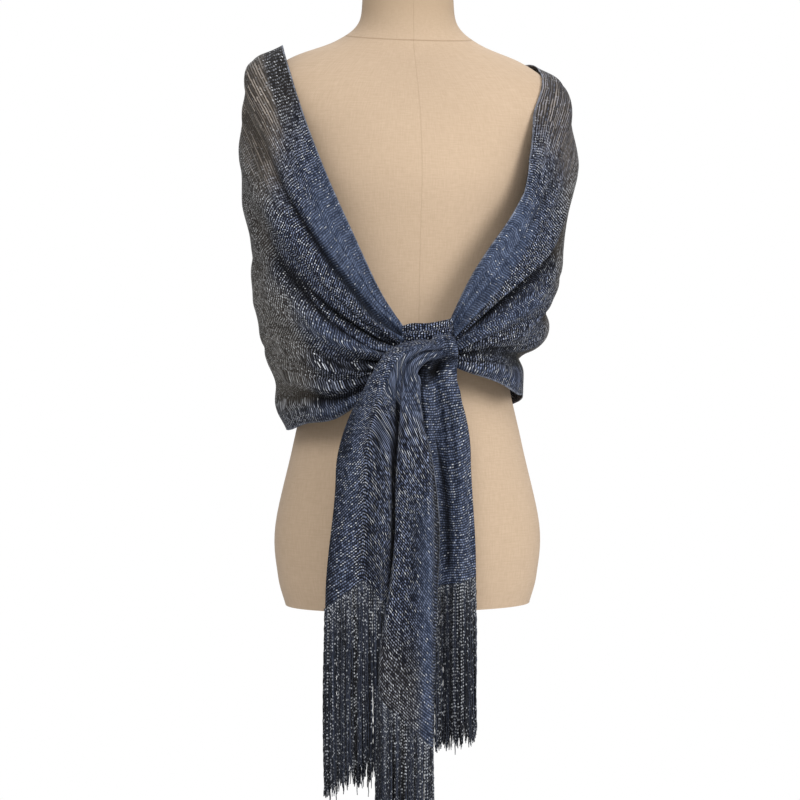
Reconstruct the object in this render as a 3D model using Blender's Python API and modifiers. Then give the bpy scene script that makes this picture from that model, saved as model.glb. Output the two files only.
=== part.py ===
"""An evening stole on a limbless dress form.

A knitted stole lies over the shoulders of a linen dress form, its two ends drawn
together in one half knot at the front of the waist. Both ends hang from the knot
and finish in a fringe. The form stands on a pole and a round base.
Metres, +Z up, -Y is the front. The origin is on the floor, on the pole's axis.
"""

import math

import bmesh
import bpy
import numpy as np

NAME = "evening_stole"

SEAM_GAP = 0.0003            # between pieces that meet
WRAP_WALL = 0.0016           # cloth wall round the shoulders
TAIL_WALL = 0.0013           # cloth wall of the hanging ends
FORM_CLEARANCE = 0.0018      # cloth above the form's surface

BASE_RADIUS = 0.220
BASE_HEIGHT = 0.026
POLE_RADIUS = 0.0145
TORSO_BOTTOM = 0.755
NECK_TOP = 1.530
CAP_HEIGHT = 0.016

STRIP_HEIGHT = 0.004         # the band that the fringe's strands are fused to
FRONT_STRAND_LENGTH = 0.200
REAR_STRAND_LENGTH = 0.180

# The form, a ring a row, bottom to top. Heights at the front, side and back of
# the ring, half of its width, its depth in front of and behind the axis, and the
# exponent of its outline (2 is an ellipse, more is squarer).
FORM_COLUMNS = ("front_z", "side_z", "back_z", "half_width", "front", "back", "square")
FORM_RINGS = {
    "bottom": (0.755, 0.755, 0.755, 0.148, 0.087, 0.100, 2.2),
    "low hip": (0.790, 0.790, 0.790, 0.157, 0.093, 0.110, 2.2),
    "hip": (0.850, 0.850, 0.850, 0.160, 0.097, 0.116, 2.2),
    "high hip": (0.950, 0.950, 0.950, 0.138, 0.094, 0.105, 2.1),
    "waist": (1.050, 1.050, 1.050, 0.119, 0.086, 0.088, 2.0),
    "rib": (1.140, 1.140, 1.140, 0.130, 0.094, 0.087, 2.0),
    "under bust": (1.200, 1.200, 1.200, 0.142, 0.104, 0.092, 2.0),
    "bust": (1.260, 1.255, 1.260, 0.150, 0.115, 0.098, 2.1),
    "chest": (1.315, 1.300, 1.315, 0.160, 0.106, 0.103, 2.2),
    "armhole": (1.350, 1.336, 1.360, 0.177, 0.090, 0.103, 2.3),
    "shoulder tip": (1.378, 1.366, 1.392, 0.187, 0.073, 0.090, 2.3),
    "shoulder": (1.396, 1.388, 1.412, 0.172, 0.061, 0.075, 2.2),
    "yoke": (1.409, 1.410, 1.428, 0.140, 0.053, 0.063, 2.0),
    "neck root": (1.421, 1.430, 1.444, 0.090, 0.048, 0.056, 2.0),
    "neck foot": (1.440, 1.453, 1.462, 0.061, 0.046, 0.051, 2.0),
    "neck": (1.484, 1.488, 1.490, 0.055, 0.045, 0.048, 2.0),
    "neck top": (NECK_TOP, NECK_TOP, NECK_TOP, 0.054, 0.046, 0.047, 2.0),
}

# The stole round the body, a section a row, from the knot over the left front, the
# back and the right front to the knot. The angle runs from the front to the -X side.
# Each section is a line down the cloth, given by its distance from the axis and its
# height at six places, from the upper edge to the hem.
WRAP_PLACES = ("edge", "bend", "chest", "waist", "tuck", "hem")
WRAP_COLUMNS = ("angle",) + tuple(f"{place}_{size}" for place in WRAP_PLACES for size in "rz")
WRAP_SECTIONS = {
    "left knot": (10, .120, 1.083, .126, 1.074, .130, 1.064, .131, 1.054, .127, 1.044, .120, 1.034),
    "left low": (24, .130, 1.125, .139, 1.104, .146, 1.080, .148, 1.055, .144, 1.030, .138, 1.009),
    "left middle": (40, .148, 1.197, .160, 1.165, .166, 1.122, .166, 1.075, .159, 1.020, .150, 0.984),
    "left breast": (56, .159, 1.283, .179, 1.247, .188, 1.190, .186, 1.100, .168, 1.024, .153, 0.971),
    "left strap": (71, .156, 1.368, .192, 1.328, .198, 1.250, .189, 1.112, .167, 1.025, .151, 0.966),
    "left shoulder": (90, .151, 1.424, .196, 1.391, .199, 1.290, .185, 1.112, .163, 1.025, .149, 0.967),
    "left blade": (113, .149, 1.413, .178, 1.374, .185, 1.280, .174, 1.115, .154, 1.020, .147, 0.958),
    "left back": (145, .130, 1.389, .138, 1.350, .143, 1.270, .138, 1.120, .131, 1.012, .135, 0.944),
    "middle back": (180, .109, 1.376, .116, 1.340, .119, 1.260, .117, 1.120, .116, 1.010, .122, 0.935),
    "right back": (215, .131, 1.384, .139, 1.345, .144, 1.265, .137, 1.120, .129, 1.018, .133, 0.953),
    "right blade": (247, .151, 1.402, .180, 1.364, .188, 1.270, .166, 1.105, .145, 1.032, .144, 0.976),
    "right shoulder": (270, .159, 1.407, .196, 1.378, .199, 1.278, .169, 1.098, .140, 1.040, .140, 0.993),
    "right strap": (291, .156, 1.354, .189, 1.318, .196, 1.240, .172, 1.098, .143, 1.042, .140, 1.000),
    "right breast": (305, .152, 1.283, .176, 1.240, .183, 1.180, .170, 1.094, .147, 1.046, .141, 1.007),
    "right middle": (321, .147, 1.208, .160, 1.176, .165, 1.136, .161, 1.085, .149, 1.048, .141, 1.014),
    "right low": (336, .134, 1.145, .145, 1.124, .151, 1.100, .152, 1.073, .146, 1.045, .137, 1.022),
    "right knot": (346, .121, 1.090, .128, 1.081, .133, 1.070, .133, 1.059, .130, 1.047, .123, 1.037),
}
WRAP_STEPS_ALONG = 54
WRAP_STEPS_ACROSS = 25

# Folds of the stole round the body, a fold a row. Sections are counted from 0 at the
# left knot to 16 at the right knot. Across is the share of the cloth's width from the
# upper edge to the hem. A positive height is a ridge, a negative one a trough.
FOLD_COLUMNS = ("start", "stop", "across_start", "across_stop", "width_start", "width_stop",
                "height_start", "height_stop")
WRAP_FOLDS = {
    "left edge roll": (0.0, 5.0, 0.06, 0.07, 0.05, 0.07, 0.0030, 0.0030),
    "left band crease": (0.0, 5.6, 0.23, 0.16, 0.045, 0.035, -0.0060, -0.0030),
    "left silver ridge": (0.0, 5.4, 0.34, 0.28, 0.050, 0.060, 0.0050, 0.0050),
    "left deep crease": (0.0, 4.8, 0.46, 0.42, 0.045, 0.045, -0.0070, -0.0060),
    "left puff": (0.0, 4.2, 0.58, 0.58, 0.060, 0.080, 0.0060, 0.0050),
    "left low crease": (0.0, 2.6, 0.71, 0.70, 0.045, 0.050, -0.0050, -0.0040),
    "left hem crease": (0.0, 6.5, 0.86, 0.875, 0.040, 0.035, -0.0050, -0.0040),
    "left hem roll": (0.0, 7.0, 0.95, 0.95, 0.050, 0.045, 0.0040, 0.0050),
    "back edge roll": (5.0, 11.0, 0.04, 0.04, 0.040, 0.040, 0.0040, 0.0040),
    "upper trough": (5.4, 10.8, 0.13, 0.12, 0.040, 0.040, -0.0060, -0.0050),
    "upper swag": (5.2, 10.6, 0.22, 0.23, 0.050, 0.050, 0.0085, 0.0070),
    "swag crease": (5.6, 10.2, 0.34, 0.35, 0.045, 0.045, -0.0070, -0.0060),
    "middle swag": (5.4, 10.4, 0.46, 0.46, 0.060, 0.055, 0.0080, 0.0070),
    "low crease": (6.0, 10.0, 0.58, 0.57, 0.045, 0.045, -0.0050, -0.0060),
    "low swag": (5.8, 10.8, 0.69, 0.69, 0.060, 0.060, 0.0070, 0.0070),
    "back hem crease": (6.3, 10.4, 0.83, 0.83, 0.050, 0.050, -0.0050, -0.0050),
    "right edge roll": (11.0, 16.0, 0.06, 0.06, 0.060, 0.05, 0.0020, 0.0030),
    "right band crease": (10.6, 16.0, 0.17, 0.24, 0.035, 0.045, -0.0040, -0.0060),
    "right silver ridge": (10.8, 16.0, 0.30, 0.35, 0.060, 0.050, 0.0050, 0.0050),
    "right deep crease": (11.4, 16.0, 0.46, 0.48, 0.045, 0.045, -0.0060, -0.0070),
    "right fold": (11.2, 16.0, 0.60, 0.60, 0.060, 0.060, 0.0060, 0.0060),
    "right pocket": (10.6, 14.4, 0.74, 0.74, 0.060, 0.060, 0.0110, 0.0070),
    "right pocket crease": (10.2, 16.0, 0.83, 0.78, 0.035, 0.040, -0.0070, -0.0050),
    "right hem roll": (9.5, 16.0, 0.94, 0.94, 0.050, 0.050, 0.0050, 0.0040),
}
FOLD_FADE = 0.8              # sections over which a fold rises where it starts and stops

# The bundle of cloth inside the knot, a ring a row, in planes through the axis.
CORE_COLUMNS = ("angle", "radius", "height", "half_depth", "half_height")
CORE_RINGS = {
    "left end": (9.2, 0.1255, 1.0585, 0.0100, 0.0250),
    "left": (6.0, 0.1260, 1.0595, 0.0160, 0.0265),
    "middle": (-1.5, 0.1265, 1.0600, 0.0195, 0.0255),
    "right": (-10.0, 0.1270, 1.0615, 0.0180, 0.0270),
    "right end": (-13.1, 0.1275, 1.0630, 0.0105, 0.0265),
}

# The cloth that turns over the bundle and becomes the front end, a ring a row.
TURN_COLUMNS = ("x", "y", "z", "half_width", "half_depth")
TURN_RINGS = {
    "root": (0.0325, -0.1460, 1.0290, 0.0080, 0.0030),
    "side": (0.0300, -0.1540, 1.0440, 0.0120, 0.0080),
    "crest": (0.0075, -0.1580, 1.0560, 0.0155, 0.0110),
    "fall": (-0.0185, -0.1590, 1.0415, 0.0220, 0.0115),
    "mouth": (-0.0340, -0.1580, 1.0200, 0.0300, 0.0120),
}

# Hanging ends, a fold line a row, from one selvage to the other. Each line has its
# place below the knot, its place at half height, its place at the hem, and the
# height of the hem there.
TAIL_COLUMNS = ("x_top", "y_top", "x_mid", "y_mid", "x_low", "y_low", "hem_z")
FRONT_TAIL = {
    "right selvage": (-0.012, -0.1520, 0.015, -0.1480, 0.005, -0.1560, 0.613),
    "right ridge": (-0.013, -0.1640, 0.001, -0.1720, 0.001, -0.1720, 0.618),
    "right panel": (-0.022, -0.1670, -0.019, -0.1660, -0.024, -0.1690, 0.645),
    "deep valley": (-0.031, -0.1600, -0.034, -0.1540, -0.050, -0.1620, 0.680),
    "hidden return": (-0.022, -0.1560, -0.016, -0.1460, -0.026, -0.1460, 0.700),
    "hidden fold": (-0.026, -0.1490, -0.030, -0.1370, -0.036, -0.1360, 0.716),
    "middle ridge": (-0.044, -0.1530, -0.052, -0.1510, -0.060, -0.1520, 0.752),
    "middle valley": (-0.050, -0.1640, -0.064, -0.1480, -0.071, -0.1490, 0.785),
    "left panel": (-0.057, -0.1640, -0.082, -0.1560, -0.093, -0.1570, 0.788),
    "left fold": (-0.063, -0.1570, -0.098, -0.1490, -0.113, -0.1490, 0.775),
    "left return": (-0.054, -0.1520, -0.081, -0.1380, -0.092, -0.1390, 0.788),
    "left selvage": (-0.044, -0.1470, -0.060, -0.1310, -0.068, -0.1310, 0.800),
}
REAR_TAIL = {
    "left selvage": (0.012, -0.1210, -0.008, -0.1240, -0.010, -0.1240, 0.790),
    "left fold": (0.016, -0.1300, 0.010, -0.1340, 0.008, -0.1350, 0.783),
    "valley": (0.022, -0.1230, 0.022, -0.1240, 0.022, -0.1240, 0.790),
    "front fold": (0.030, -0.1320, 0.040, -0.1360, 0.042, -0.1360, 0.800),
    "right fold": (0.042, -0.1260, 0.055, -0.1230, 0.060, -0.1230, 0.815),
    "back fold": (0.034, -0.1180, 0.042, -0.1130, 0.045, -0.1130, 0.826),
    "right selvage": (0.024, -0.1140, 0.024, -0.1130, 0.024, -0.1130, 0.835),
}
TAIL_STEPS_PER_FOLD = 4
TAIL_STEPS_DOWN = 11
TAIL_MIDDLE = 0.42           # share of the way down at which the middle places hold

FRONT_STRANDS = 62
REAR_STRANDS = 38
STRAND_STEPS = 2


def clear_scene():
    for thing in list(bpy.data.objects):
        bpy.data.objects.remove(thing)


def new_collection():
    collection = bpy.data.collections.new(NAME)
    bpy.context.scene.collection.children.link(collection)
    return collection


def principled(name, colour, roughness, metallic):
    material = bpy.data.materials.new(name)
    material.use_nodes = True
    shader = material.node_tree.nodes["Principled BSDF"]
    shader.inputs["Base Color"].default_value = (*colour, 1.0)
    shader.inputs["Roughness"].default_value = roughness
    shader.inputs["Metallic"].default_value = metallic
    return material


def spline_rows(rows, places):
    """The rows of a table, smoothly interpolated at fractional row numbers."""
    rows = np.asarray(rows, dtype=float)
    last = len(rows) - 1
    padded = np.vstack((2 * rows[0] - rows[1], rows, 2 * rows[-1] - rows[-2]))
    places = np.clip(np.asarray(places, dtype=float), 0.0, last)
    index = np.minimum(places.astype(int), last - 1)
    share = (places - index)[:, None]
    before, start, stop, after = (padded[index + shift] for shift in range(4))
    return 0.5 * (2 * start + (stop - before) * share
                  + (2 * before - 5 * start + 4 * stop - after) * share ** 2
                  + (3 * start - before - 3 * stop + after) * share ** 3)


def even_points(points, count):
    """Points along a line through the given ones, the same distance apart."""
    fine = spline_rows(points, np.linspace(0, len(points) - 1, 12 * len(points)))
    run = np.concatenate(([0.0], np.cumsum(np.linalg.norm(np.diff(fine, axis=0), axis=1))))
    wanted = np.linspace(0.0, run[-1], count)
    return np.stack([np.interp(wanted, run, fine[:, axis]) for axis in range(fine.shape[1])], axis=1)


def link_mesh(collection, name, vertices, faces, material):
    mesh = bpy.data.meshes.new(name)
    mesh.from_pydata([tuple(vertex) for vertex in vertices], [], faces)
    mesh.materials.append(material)
    mesh.validate()
    mesh.shade_smooth()
    thing = bpy.data.objects.new(name, mesh)
    collection.objects.link(thing)
    return thing


def sheet_from_grid(collection, name, grid, material):
    """An open sheet from a grid of points, its face on the left of the first direction."""
    along, across = grid.shape[:2]
    faces = [(i * across + j, (i + 1) * across + j, (i + 1) * across + j + 1, i * across + j + 1)
             for i in range(along - 1) for j in range(across - 1)]
    return link_mesh(collection, name, grid.reshape(-1, 3), faces, material)


def solid_from_rings(collection, name, rings, material):
    """A closed solid lofted through rings of points, with a flat cap at each end."""
    count = len(rings[0])
    faces = [(i * count + j, i * count + (j + 1) % count,
              (i + 1) * count + (j + 1) % count, (i + 1) * count + j)
             for i in range(len(rings) - 1) for j in range(count)]
    faces.append(tuple(reversed(range(count))))
    faces.append(tuple((len(rings) - 1) * count + j for j in range(count)))
    thing = link_mesh(collection, name, np.concatenate(rings), faces, material)
    shape = bmesh.new()
    shape.from_mesh(thing.data)
    bmesh.ops.recalc_face_normals(shape, faces=shape.faces)
    shape.to_mesh(thing.data)
    shape.free()
    thing.data.set_sharp_from_angle(angle=math.radians(50))
    return thing


def add_wall(thing, thickness, side):
    wall = thing.modifiers.new("wall", "SOLIDIFY")
    wall.thickness = thickness
    wall.offset = side


def turned_object(collection, name, profile, material, steps=40):
    """A solid of revolution, its profile given as radius and height from the top down."""
    vertices = [(radius, 0.0, height) for radius, height in profile]
    edges = [(index, index + 1) for index in range(len(vertices) - 1)]
    mesh = bpy.data.meshes.new(name)
    mesh.from_pydata(vertices, edges, [])
    mesh.materials.append(material)
    thing = bpy.data.objects.new(name, mesh)
    collection.objects.link(thing)
    screw = thing.modifiers.new("turn", "SCREW")
    screw.steps = steps
    screw.render_steps = steps
    screw.use_merge_vertices = True
    screw.merge_threshold = 0.00005
    screw.use_smooth_shade = True
    return thing


def form_ring(row, count):
    size = dict(zip(FORM_COLUMNS, row))
    angles = np.linspace(0, 2 * math.pi, count, endpoint=False)
    side, fore = np.sin(angles), np.cos(angles)
    bend = 2.0 / size["square"]
    depth = np.where(fore > 0, size["front"], size["back"])
    end_z = np.where(fore > 0, size["front_z"], size["back_z"])
    return np.stack((
        size["half_width"] * np.sign(side) * np.abs(side) ** bend,
        -depth * np.sign(fore) * np.abs(fore) ** bend,
        size["side_z"] * side ** 2 + end_z * fore ** 2), axis=1)


def make_torso(collection, linen):
    steps_between, points_round = 2, 32
    places = np.linspace(0, len(FORM_RINGS) - 1, steps_between * (len(FORM_RINGS) - 1) + 1)
    rows = spline_rows(list(FORM_RINGS.values()), places)
    rings = [form_ring(row, points_round) for row in rows]
    return solid_from_rings(collection, "form_torso", rings, linen)


def make_neck_cap(collection, wood):
    bottom = NECK_TOP + SEAM_GAP
    top = bottom + CAP_HEIGHT
    profile = ((0.0, top), (0.020, top - 0.0005), (0.038, top - 0.003), (0.045, top - 0.008),
               (0.046, bottom + 0.002), (0.045, bottom), (0.0, bottom))
    return turned_object(collection, "form_neck_cap", profile, wood, steps=28)


def make_pole(collection, steel):
    bottom = BASE_HEIGHT + SEAM_GAP
    top = TORSO_BOTTOM - SEAM_GAP
    flange_radius, flange_height = 0.045, 0.008
    collar_radius, collar_height, collar_z = 0.021, 0.036, 0.560
    profile = ((0.0, top), (flange_radius, top), (flange_radius, top - flange_height),
               (POLE_RADIUS, top - 2 * flange_height),
               (POLE_RADIUS, collar_z + collar_height), (collar_radius, collar_z + collar_height - 0.003),
               (collar_radius, collar_z + 0.003), (POLE_RADIUS, collar_z),
               (POLE_RADIUS, bottom), (0.0, bottom))
    return turned_object(collection, "form_pole", profile, steel, steps=20)


def make_base(collection, steel):
    hub_radius = 0.030
    rim_height = 0.009
    profile = ((0.0, BASE_HEIGHT), (hub_radius, BASE_HEIGHT), (hub_radius + 0.006, BASE_HEIGHT - 0.005),
               (0.080, 0.0165), (0.140, 0.0120), (BASE_RADIUS - 0.006, rim_height),
               (BASE_RADIUS, rim_height - 0.004), (BASE_RADIUS, 0.0015), (BASE_RADIUS - 0.002, 0.0),
               (0.0, 0.0))
    return turned_object(collection, "form_base", profile, steel)


def fold_height(section, across):
    """How far the folds push the cloth out at one section, for each share of its width."""
    total = np.zeros_like(across)
    for row in WRAP_FOLDS.values():
        fold = dict(zip(FOLD_COLUMNS, row))
        share = (section - fold["start"]) / (fold["stop"] - fold["start"])
        share = min(max(share, 0.0), 1.0)
        fade = 1.0
        if fold["start"] > 0:
            fade *= min(max((section - fold["start"]) / FOLD_FADE, 0.0), 1.0)
        if fold["stop"] < len(WRAP_SECTIONS) - 1:
            fade *= min(max((fold["stop"] - section) / FOLD_FADE, 0.0), 1.0)
        centre = fold["across_start"] + share * (fold["across_stop"] - fold["across_start"])
        width = fold["width_start"] + share * (fold["width_stop"] - fold["width_start"])
        height = fold["height_start"] + share * (fold["height_stop"] - fold["height_start"])
        total += fade * fade * (3 - 2 * fade) * height * np.exp(-((across - centre) / width) ** 2)
    return total


def wrap_grid(steps_along, steps_across):
    sections = np.linspace(0, len(WRAP_SECTIONS) - 1, steps_along + 1)
    rows = spline_rows(list(WRAP_SECTIONS.values()), sections)
    lines = []
    for row in rows:
        angle = math.radians(row[0])
        down = even_points(row[1:].reshape(-1, 2), steps_across + 1)
        lines.append(np.stack((-down[:, 0] * math.sin(angle), -down[:, 0] * math.cos(angle),
                               down[:, 1]), axis=1))
    grid = np.array(lines)
    along = np.gradient(grid, axis=0)
    down = np.gradient(grid, axis=1)
    outward = np.cross(along, down)
    tangent = np.array([(-math.cos(turn), math.sin(turn), 0.0) for turn in np.radians(rows[:, 0])])
    outward -= np.sum(outward * tangent[:, None], axis=2, keepdims=True) * tangent[:, None]
    outward /= np.linalg.norm(outward, axis=2, keepdims=True)
    across = np.linspace(0, 1, steps_across + 1)
    heights = np.array([fold_height(section, across) for section in sections])
    return grid + outward * heights[:, :, None]


def make_wrap(collection, knit, torso):
    grid = wrap_grid(WRAP_STEPS_ALONG, WRAP_STEPS_ACROSS)
    wrap = sheet_from_grid(collection, "wrap", grid, knit)
    rest = wrap.modifiers.new("rest on the form", "SHRINKWRAP")
    rest.target = torso
    rest.wrap_mode = "OUTSIDE"
    rest.offset = FORM_CLEARANCE
    add_wall(wrap, WRAP_WALL, 1.0)
    return wrap


def make_knot_core(collection, knit):
    steps_between, points_round, ridges, ridge_height = 3, 20, 5, 0.05
    places = np.linspace(0, len(CORE_RINGS) - 1, steps_between * (len(CORE_RINGS) - 1) + 1)
    turn = np.linspace(0, 2 * math.pi, points_round, endpoint=False)
    swell = 1 + ridge_height * np.sin(ridges * turn)
    rings = []
    for row in spline_rows(list(CORE_RINGS.values()), places):
        ring = dict(zip(CORE_COLUMNS, row))
        angle = math.radians(ring["angle"])
        radius = ring["radius"] + ring["half_depth"] * np.cos(turn) * swell
        height = ring["height"] + ring["half_height"] * np.sin(turn) * swell
        rings.append(np.stack((-radius * math.sin(angle), -radius * math.cos(angle), height), axis=1))
    return solid_from_rings(collection, "knot_core", rings, knit)


def make_knot_turn(collection, knit):
    steps_between, points_round, ridges, ridge_height = 4, 20, 5, 0.09
    places = np.linspace(0, len(TURN_RINGS) - 1, steps_between * (len(TURN_RINGS) - 1) + 1)
    rows = spline_rows(list(TURN_RINGS.values()), places)
    turn = np.linspace(0, 2 * math.pi, points_round, endpoint=False)
    swell = 1 + ridge_height * np.cos(ridges * turn)
    forward = np.array((0.0, -1.0, 0.0))
    heading = np.gradient(rows[:, :3], axis=0)
    rings = []
    for row, run in zip(rows, heading):
        ring = dict(zip(TURN_COLUMNS, row))
        wide = np.cross(run, forward)
        wide /= np.linalg.norm(wide)
        deep = np.cross(wide, run)
        deep /= np.linalg.norm(deep)
        rings.append(row[:3] + np.outer(ring["half_width"] * np.cos(turn) * swell, wide)
                     + np.outer(ring["half_depth"] * np.sin(turn) * swell, deep))
    return solid_from_rings(collection, "knot_turn", rings, knit)


def turn_mouth():
    """The middle of the turn's lower cap and the direction in which it runs."""
    rows = spline_rows(list(TURN_RINGS.values()), (len(TURN_RINGS) - 1.25, len(TURN_RINGS) - 1))
    run = rows[1, :3] - rows[0, :3]
    return rows[1, :3], run / np.linalg.norm(run)


def front_tail_top(points):
    """Heights at which the front end starts, just below the turn's tilted cap."""
    middle, run = turn_mouth()
    flat = points[:, :2] - middle[:2]
    drop = SEAM_GAP + TAIL_WALL / 2
    return middle[2] - (flat @ run[:2]) / run[2] - drop


def rear_tail_top(points):
    """Heights at which the rear end starts, just below the bundle and the right front."""
    core_underside, slope_start, slope = 1.0352, 0.022, 0.75
    return core_underside - slope * np.maximum(points[:, 0] - slope_start, 0.0)


def tail_grid(table, top_height, steps_per_fold, steps_down):
    rows = np.array(list(table.values()))
    places = np.linspace(0, len(rows) - 1, steps_per_fold * (len(rows) - 1) + 1)
    fine = spline_rows(rows, places)
    top, middle, low, hem = fine[:, 0:2], fine[:, 2:4], fine[:, 4:6], fine[:, 6]
    start = top_height(top)
    grid = []
    for share in np.linspace(0, 1, steps_down + 1):
        if share < TAIL_MIDDLE:
            part = share / TAIL_MIDDLE
            ease = math.sin(part * math.pi / 2) ** 1.15
            flat = top + (middle - top) * ease
        else:
            part = (share - TAIL_MIDDLE) / (1 - TAIL_MIDDLE)
            flat = middle + (low - middle) * part * part * (3 - 2 * part)
        grid.append(np.column_stack((flat, start + (hem - start) * share)))
    return np.array(grid).transpose(1, 0, 2)


def make_tail(collection, name, table, top_height, knit):
    grid = tail_grid(table, top_height, TAIL_STEPS_PER_FOLD, TAIL_STEPS_DOWN)
    tail = sheet_from_grid(collection, name, grid, knit)
    add_wall(tail, TAIL_WALL, 0.0)
    return tail


def make_fringe(collection, name, table, top_height, strands, strand_length, yarn):
    """A band along a hem with a strand hanging from every second stretch of it."""
    hem = tail_grid(table, top_height, TAIL_STEPS_PER_FOLD, 1)[:, -1]
    run = np.concatenate(([0.0], np.cumsum(np.linalg.norm(np.diff(hem[:, :2], axis=0), axis=1))))
    wanted = np.linspace(0.0008, run[-1] - 0.0008, 2 * strands)
    line = np.stack([np.interp(wanted, run, hem[:, axis]) for axis in range(3)], axis=1)
    heading = np.gradient(line[:, :2], axis=0)
    heading /= np.linalg.norm(heading, axis=1, keepdims=True)
    aside = np.column_stack((-heading[:, 1], heading[:, 0], np.zeros(len(line)))) * TAIL_WALL / 2
    slope = np.abs(np.gradient(line[:, 2]) / np.gradient(wanted))
    upper = line - np.outer(SEAM_GAP + TAIL_WALL / 4 + TAIL_WALL / 2 * slope, (0, 0, 1))
    lower = upper - np.array((0, 0, STRIP_HEIGHT))
    rings = [np.array((up - off, up + off, down + off, down - off))
             for up, down, off in zip(upper, lower, aside)]
    fringe = solid_from_rings(collection, name, rings, yarn)
    shape = bmesh.new()
    shape.from_mesh(fringe.data)
    shape.verts.ensure_lookup_table()
    lengths = {}
    for strand in range(strands):
        corners = {shape.verts[8 * strand + corner] for corner in (2, 3, 6, 7)}
        root = next(face for face in shape.faces if set(face.verts) == corners)
        lengths[root] = strand_length * (1 + 0.03 * math.sin(2.3 * strand) + 0.02 * math.sin(5.1 * strand))
    for step in range(STRAND_STEPS):
        tips = bmesh.ops.extrude_discrete_faces(shape, faces=list(lengths))["faces"]
        lengths = dict(zip(tips, lengths.values()))
        for tip, length in lengths.items():
            level = min(vertex.co.z for vertex in tip.verts)
            for vertex in tip.verts:
                vertex.co.z = level - length / STRAND_STEPS
    shape.to_mesh(fringe.data)
    shape.free()
    return fringe


def build():
    clear_scene()
    collection = new_collection()
    linen = principled("natural linen", (0.62, 0.49, 0.34), 0.85, 0.0)
    wood = principled("turned beech", (0.50, 0.33, 0.18), 0.50, 0.0)
    steel = principled("black enamelled steel", (0.02, 0.02, 0.02), 0.40, 0.6)
    knit = principled("navy metallic knit", (0.050, 0.075, 0.150), 0.60, 0.25)
    yarn = principled("navy metallic fringe yarn", (0.040, 0.055, 0.110), 0.60, 0.25)

    torso = make_torso(collection, linen)
    make_neck_cap(collection, wood)
    make_pole(collection, steel)
    make_base(collection, steel)
    make_wrap(collection, knit, torso)
    make_knot_core(collection, knit)
    make_knot_turn(collection, knit)
    make_tail(collection, "tail_front", FRONT_TAIL, front_tail_top, knit)
    make_tail(collection, "tail_rear", REAR_TAIL, rear_tail_top, knit)
    make_fringe(collection, "fringe_front", FRONT_TAIL, front_tail_top,
                FRONT_STRANDS, FRONT_STRAND_LENGTH, yarn)
    make_fringe(collection, "fringe_rear", REAR_TAIL, rear_tail_top,
                REAR_STRANDS, REAR_STRAND_LENGTH, yarn)


build()
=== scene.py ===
import math
from functools import partial

import bpy
import numpy as np
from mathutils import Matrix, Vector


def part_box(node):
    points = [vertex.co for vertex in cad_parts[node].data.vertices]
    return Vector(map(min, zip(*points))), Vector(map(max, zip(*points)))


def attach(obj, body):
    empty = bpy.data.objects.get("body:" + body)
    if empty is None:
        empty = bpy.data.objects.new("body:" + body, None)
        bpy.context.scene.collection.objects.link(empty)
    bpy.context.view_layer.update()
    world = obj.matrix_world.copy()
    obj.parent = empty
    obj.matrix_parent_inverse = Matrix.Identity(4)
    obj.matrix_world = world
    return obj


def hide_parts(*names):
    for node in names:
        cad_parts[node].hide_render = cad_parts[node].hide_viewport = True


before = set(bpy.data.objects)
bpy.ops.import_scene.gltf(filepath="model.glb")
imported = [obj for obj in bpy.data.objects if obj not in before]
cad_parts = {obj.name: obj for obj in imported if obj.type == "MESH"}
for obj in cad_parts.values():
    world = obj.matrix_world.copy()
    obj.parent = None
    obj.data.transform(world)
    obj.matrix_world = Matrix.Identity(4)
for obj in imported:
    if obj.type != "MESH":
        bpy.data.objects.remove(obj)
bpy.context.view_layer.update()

# metres, +Z up, -Y is the front


def hexColour(code):
    values = [int(code[i:i + 2], 16) / 255 for i in (1, 3, 5)]
    return tuple(v / 12.92 if v <= 0.04045 else ((v + 0.055) / 1.055) ** 2.4 for v in values) + (1.0,)


def addNode(tree, kind, *inputs, **settings):
    # a node with its settings, fed in the order of the sockets it then has, or from a dictionary by
    # their names; a node given as an input is linked by its first output, and a hex code is a colour
    node = tree.nodes.new("ShaderNode" + kind)
    for name, value in settings.items():
        setattr(node, name, value)
    if inputs and isinstance(inputs[0], dict):
        pairs = [(node.inputs[name], value) for name, value in inputs[0].items()]
    else:
        pairs = list(zip([socket for socket in node.inputs if socket.enabled], inputs))
    for socket, value in pairs:
        if isinstance(value, bpy.types.Node):
            value = next(output for output in value.outputs if output.enabled)
        if isinstance(value, bpy.types.NodeSocket):
            tree.links.new(value, socket)
        else:
            socket.default_value = hexColour(value) if isinstance(value, str) else value
    return node


def newMaterial(name):
    material = bpy.data.materials.new(name)
    material.use_nodes = True
    material.node_tree.nodes.clear()
    return material, partial(addNode, material.node_tree)


def smooth(share):
    share = np.clip(share, 0.0, 1.0)
    return share * share * (3 - 2 * share)


def within(value, start, rise, stop, fall):
    # 1 between two places: eases in after the first and out before the second
    return smooth((value - start) / rise) * smooth((stop - value) / fall)


def hump(value, centre, width):
    return np.exp(-((value - centre) / width) ** 2)


def splineRows(rows, places):
    # the rows of a table, smoothly interpolated at fractional row numbers
    rows = np.asarray(rows, dtype=float)
    last = len(rows) - 1
    padded = np.concatenate((2 * rows[:1] - rows[1:2], rows, 2 * rows[-1:] - rows[-2:-1]))
    places = np.clip(np.asarray(places, dtype=float), 0.0, last)
    index = np.minimum(places.astype(int), last - 1)
    share = (places - index).reshape((-1,) + (1,) * (rows.ndim - 1))
    before, start, stop, after = (padded[index + shift] for shift in range(4))
    return 0.5 * (2 * start + (stop - before) * share
                  + (2 * before - 5 * start + 4 * stop - after) * share ** 2
                  + (3 * start - before - 3 * stop + after) * share ** 3)


def fineRows(table, steps):
    # a table's rows with so many steps from each one to the next
    last = len(table) - 1
    return splineRows(list(table.values()), np.linspace(0, last, steps * last + 1))


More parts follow.
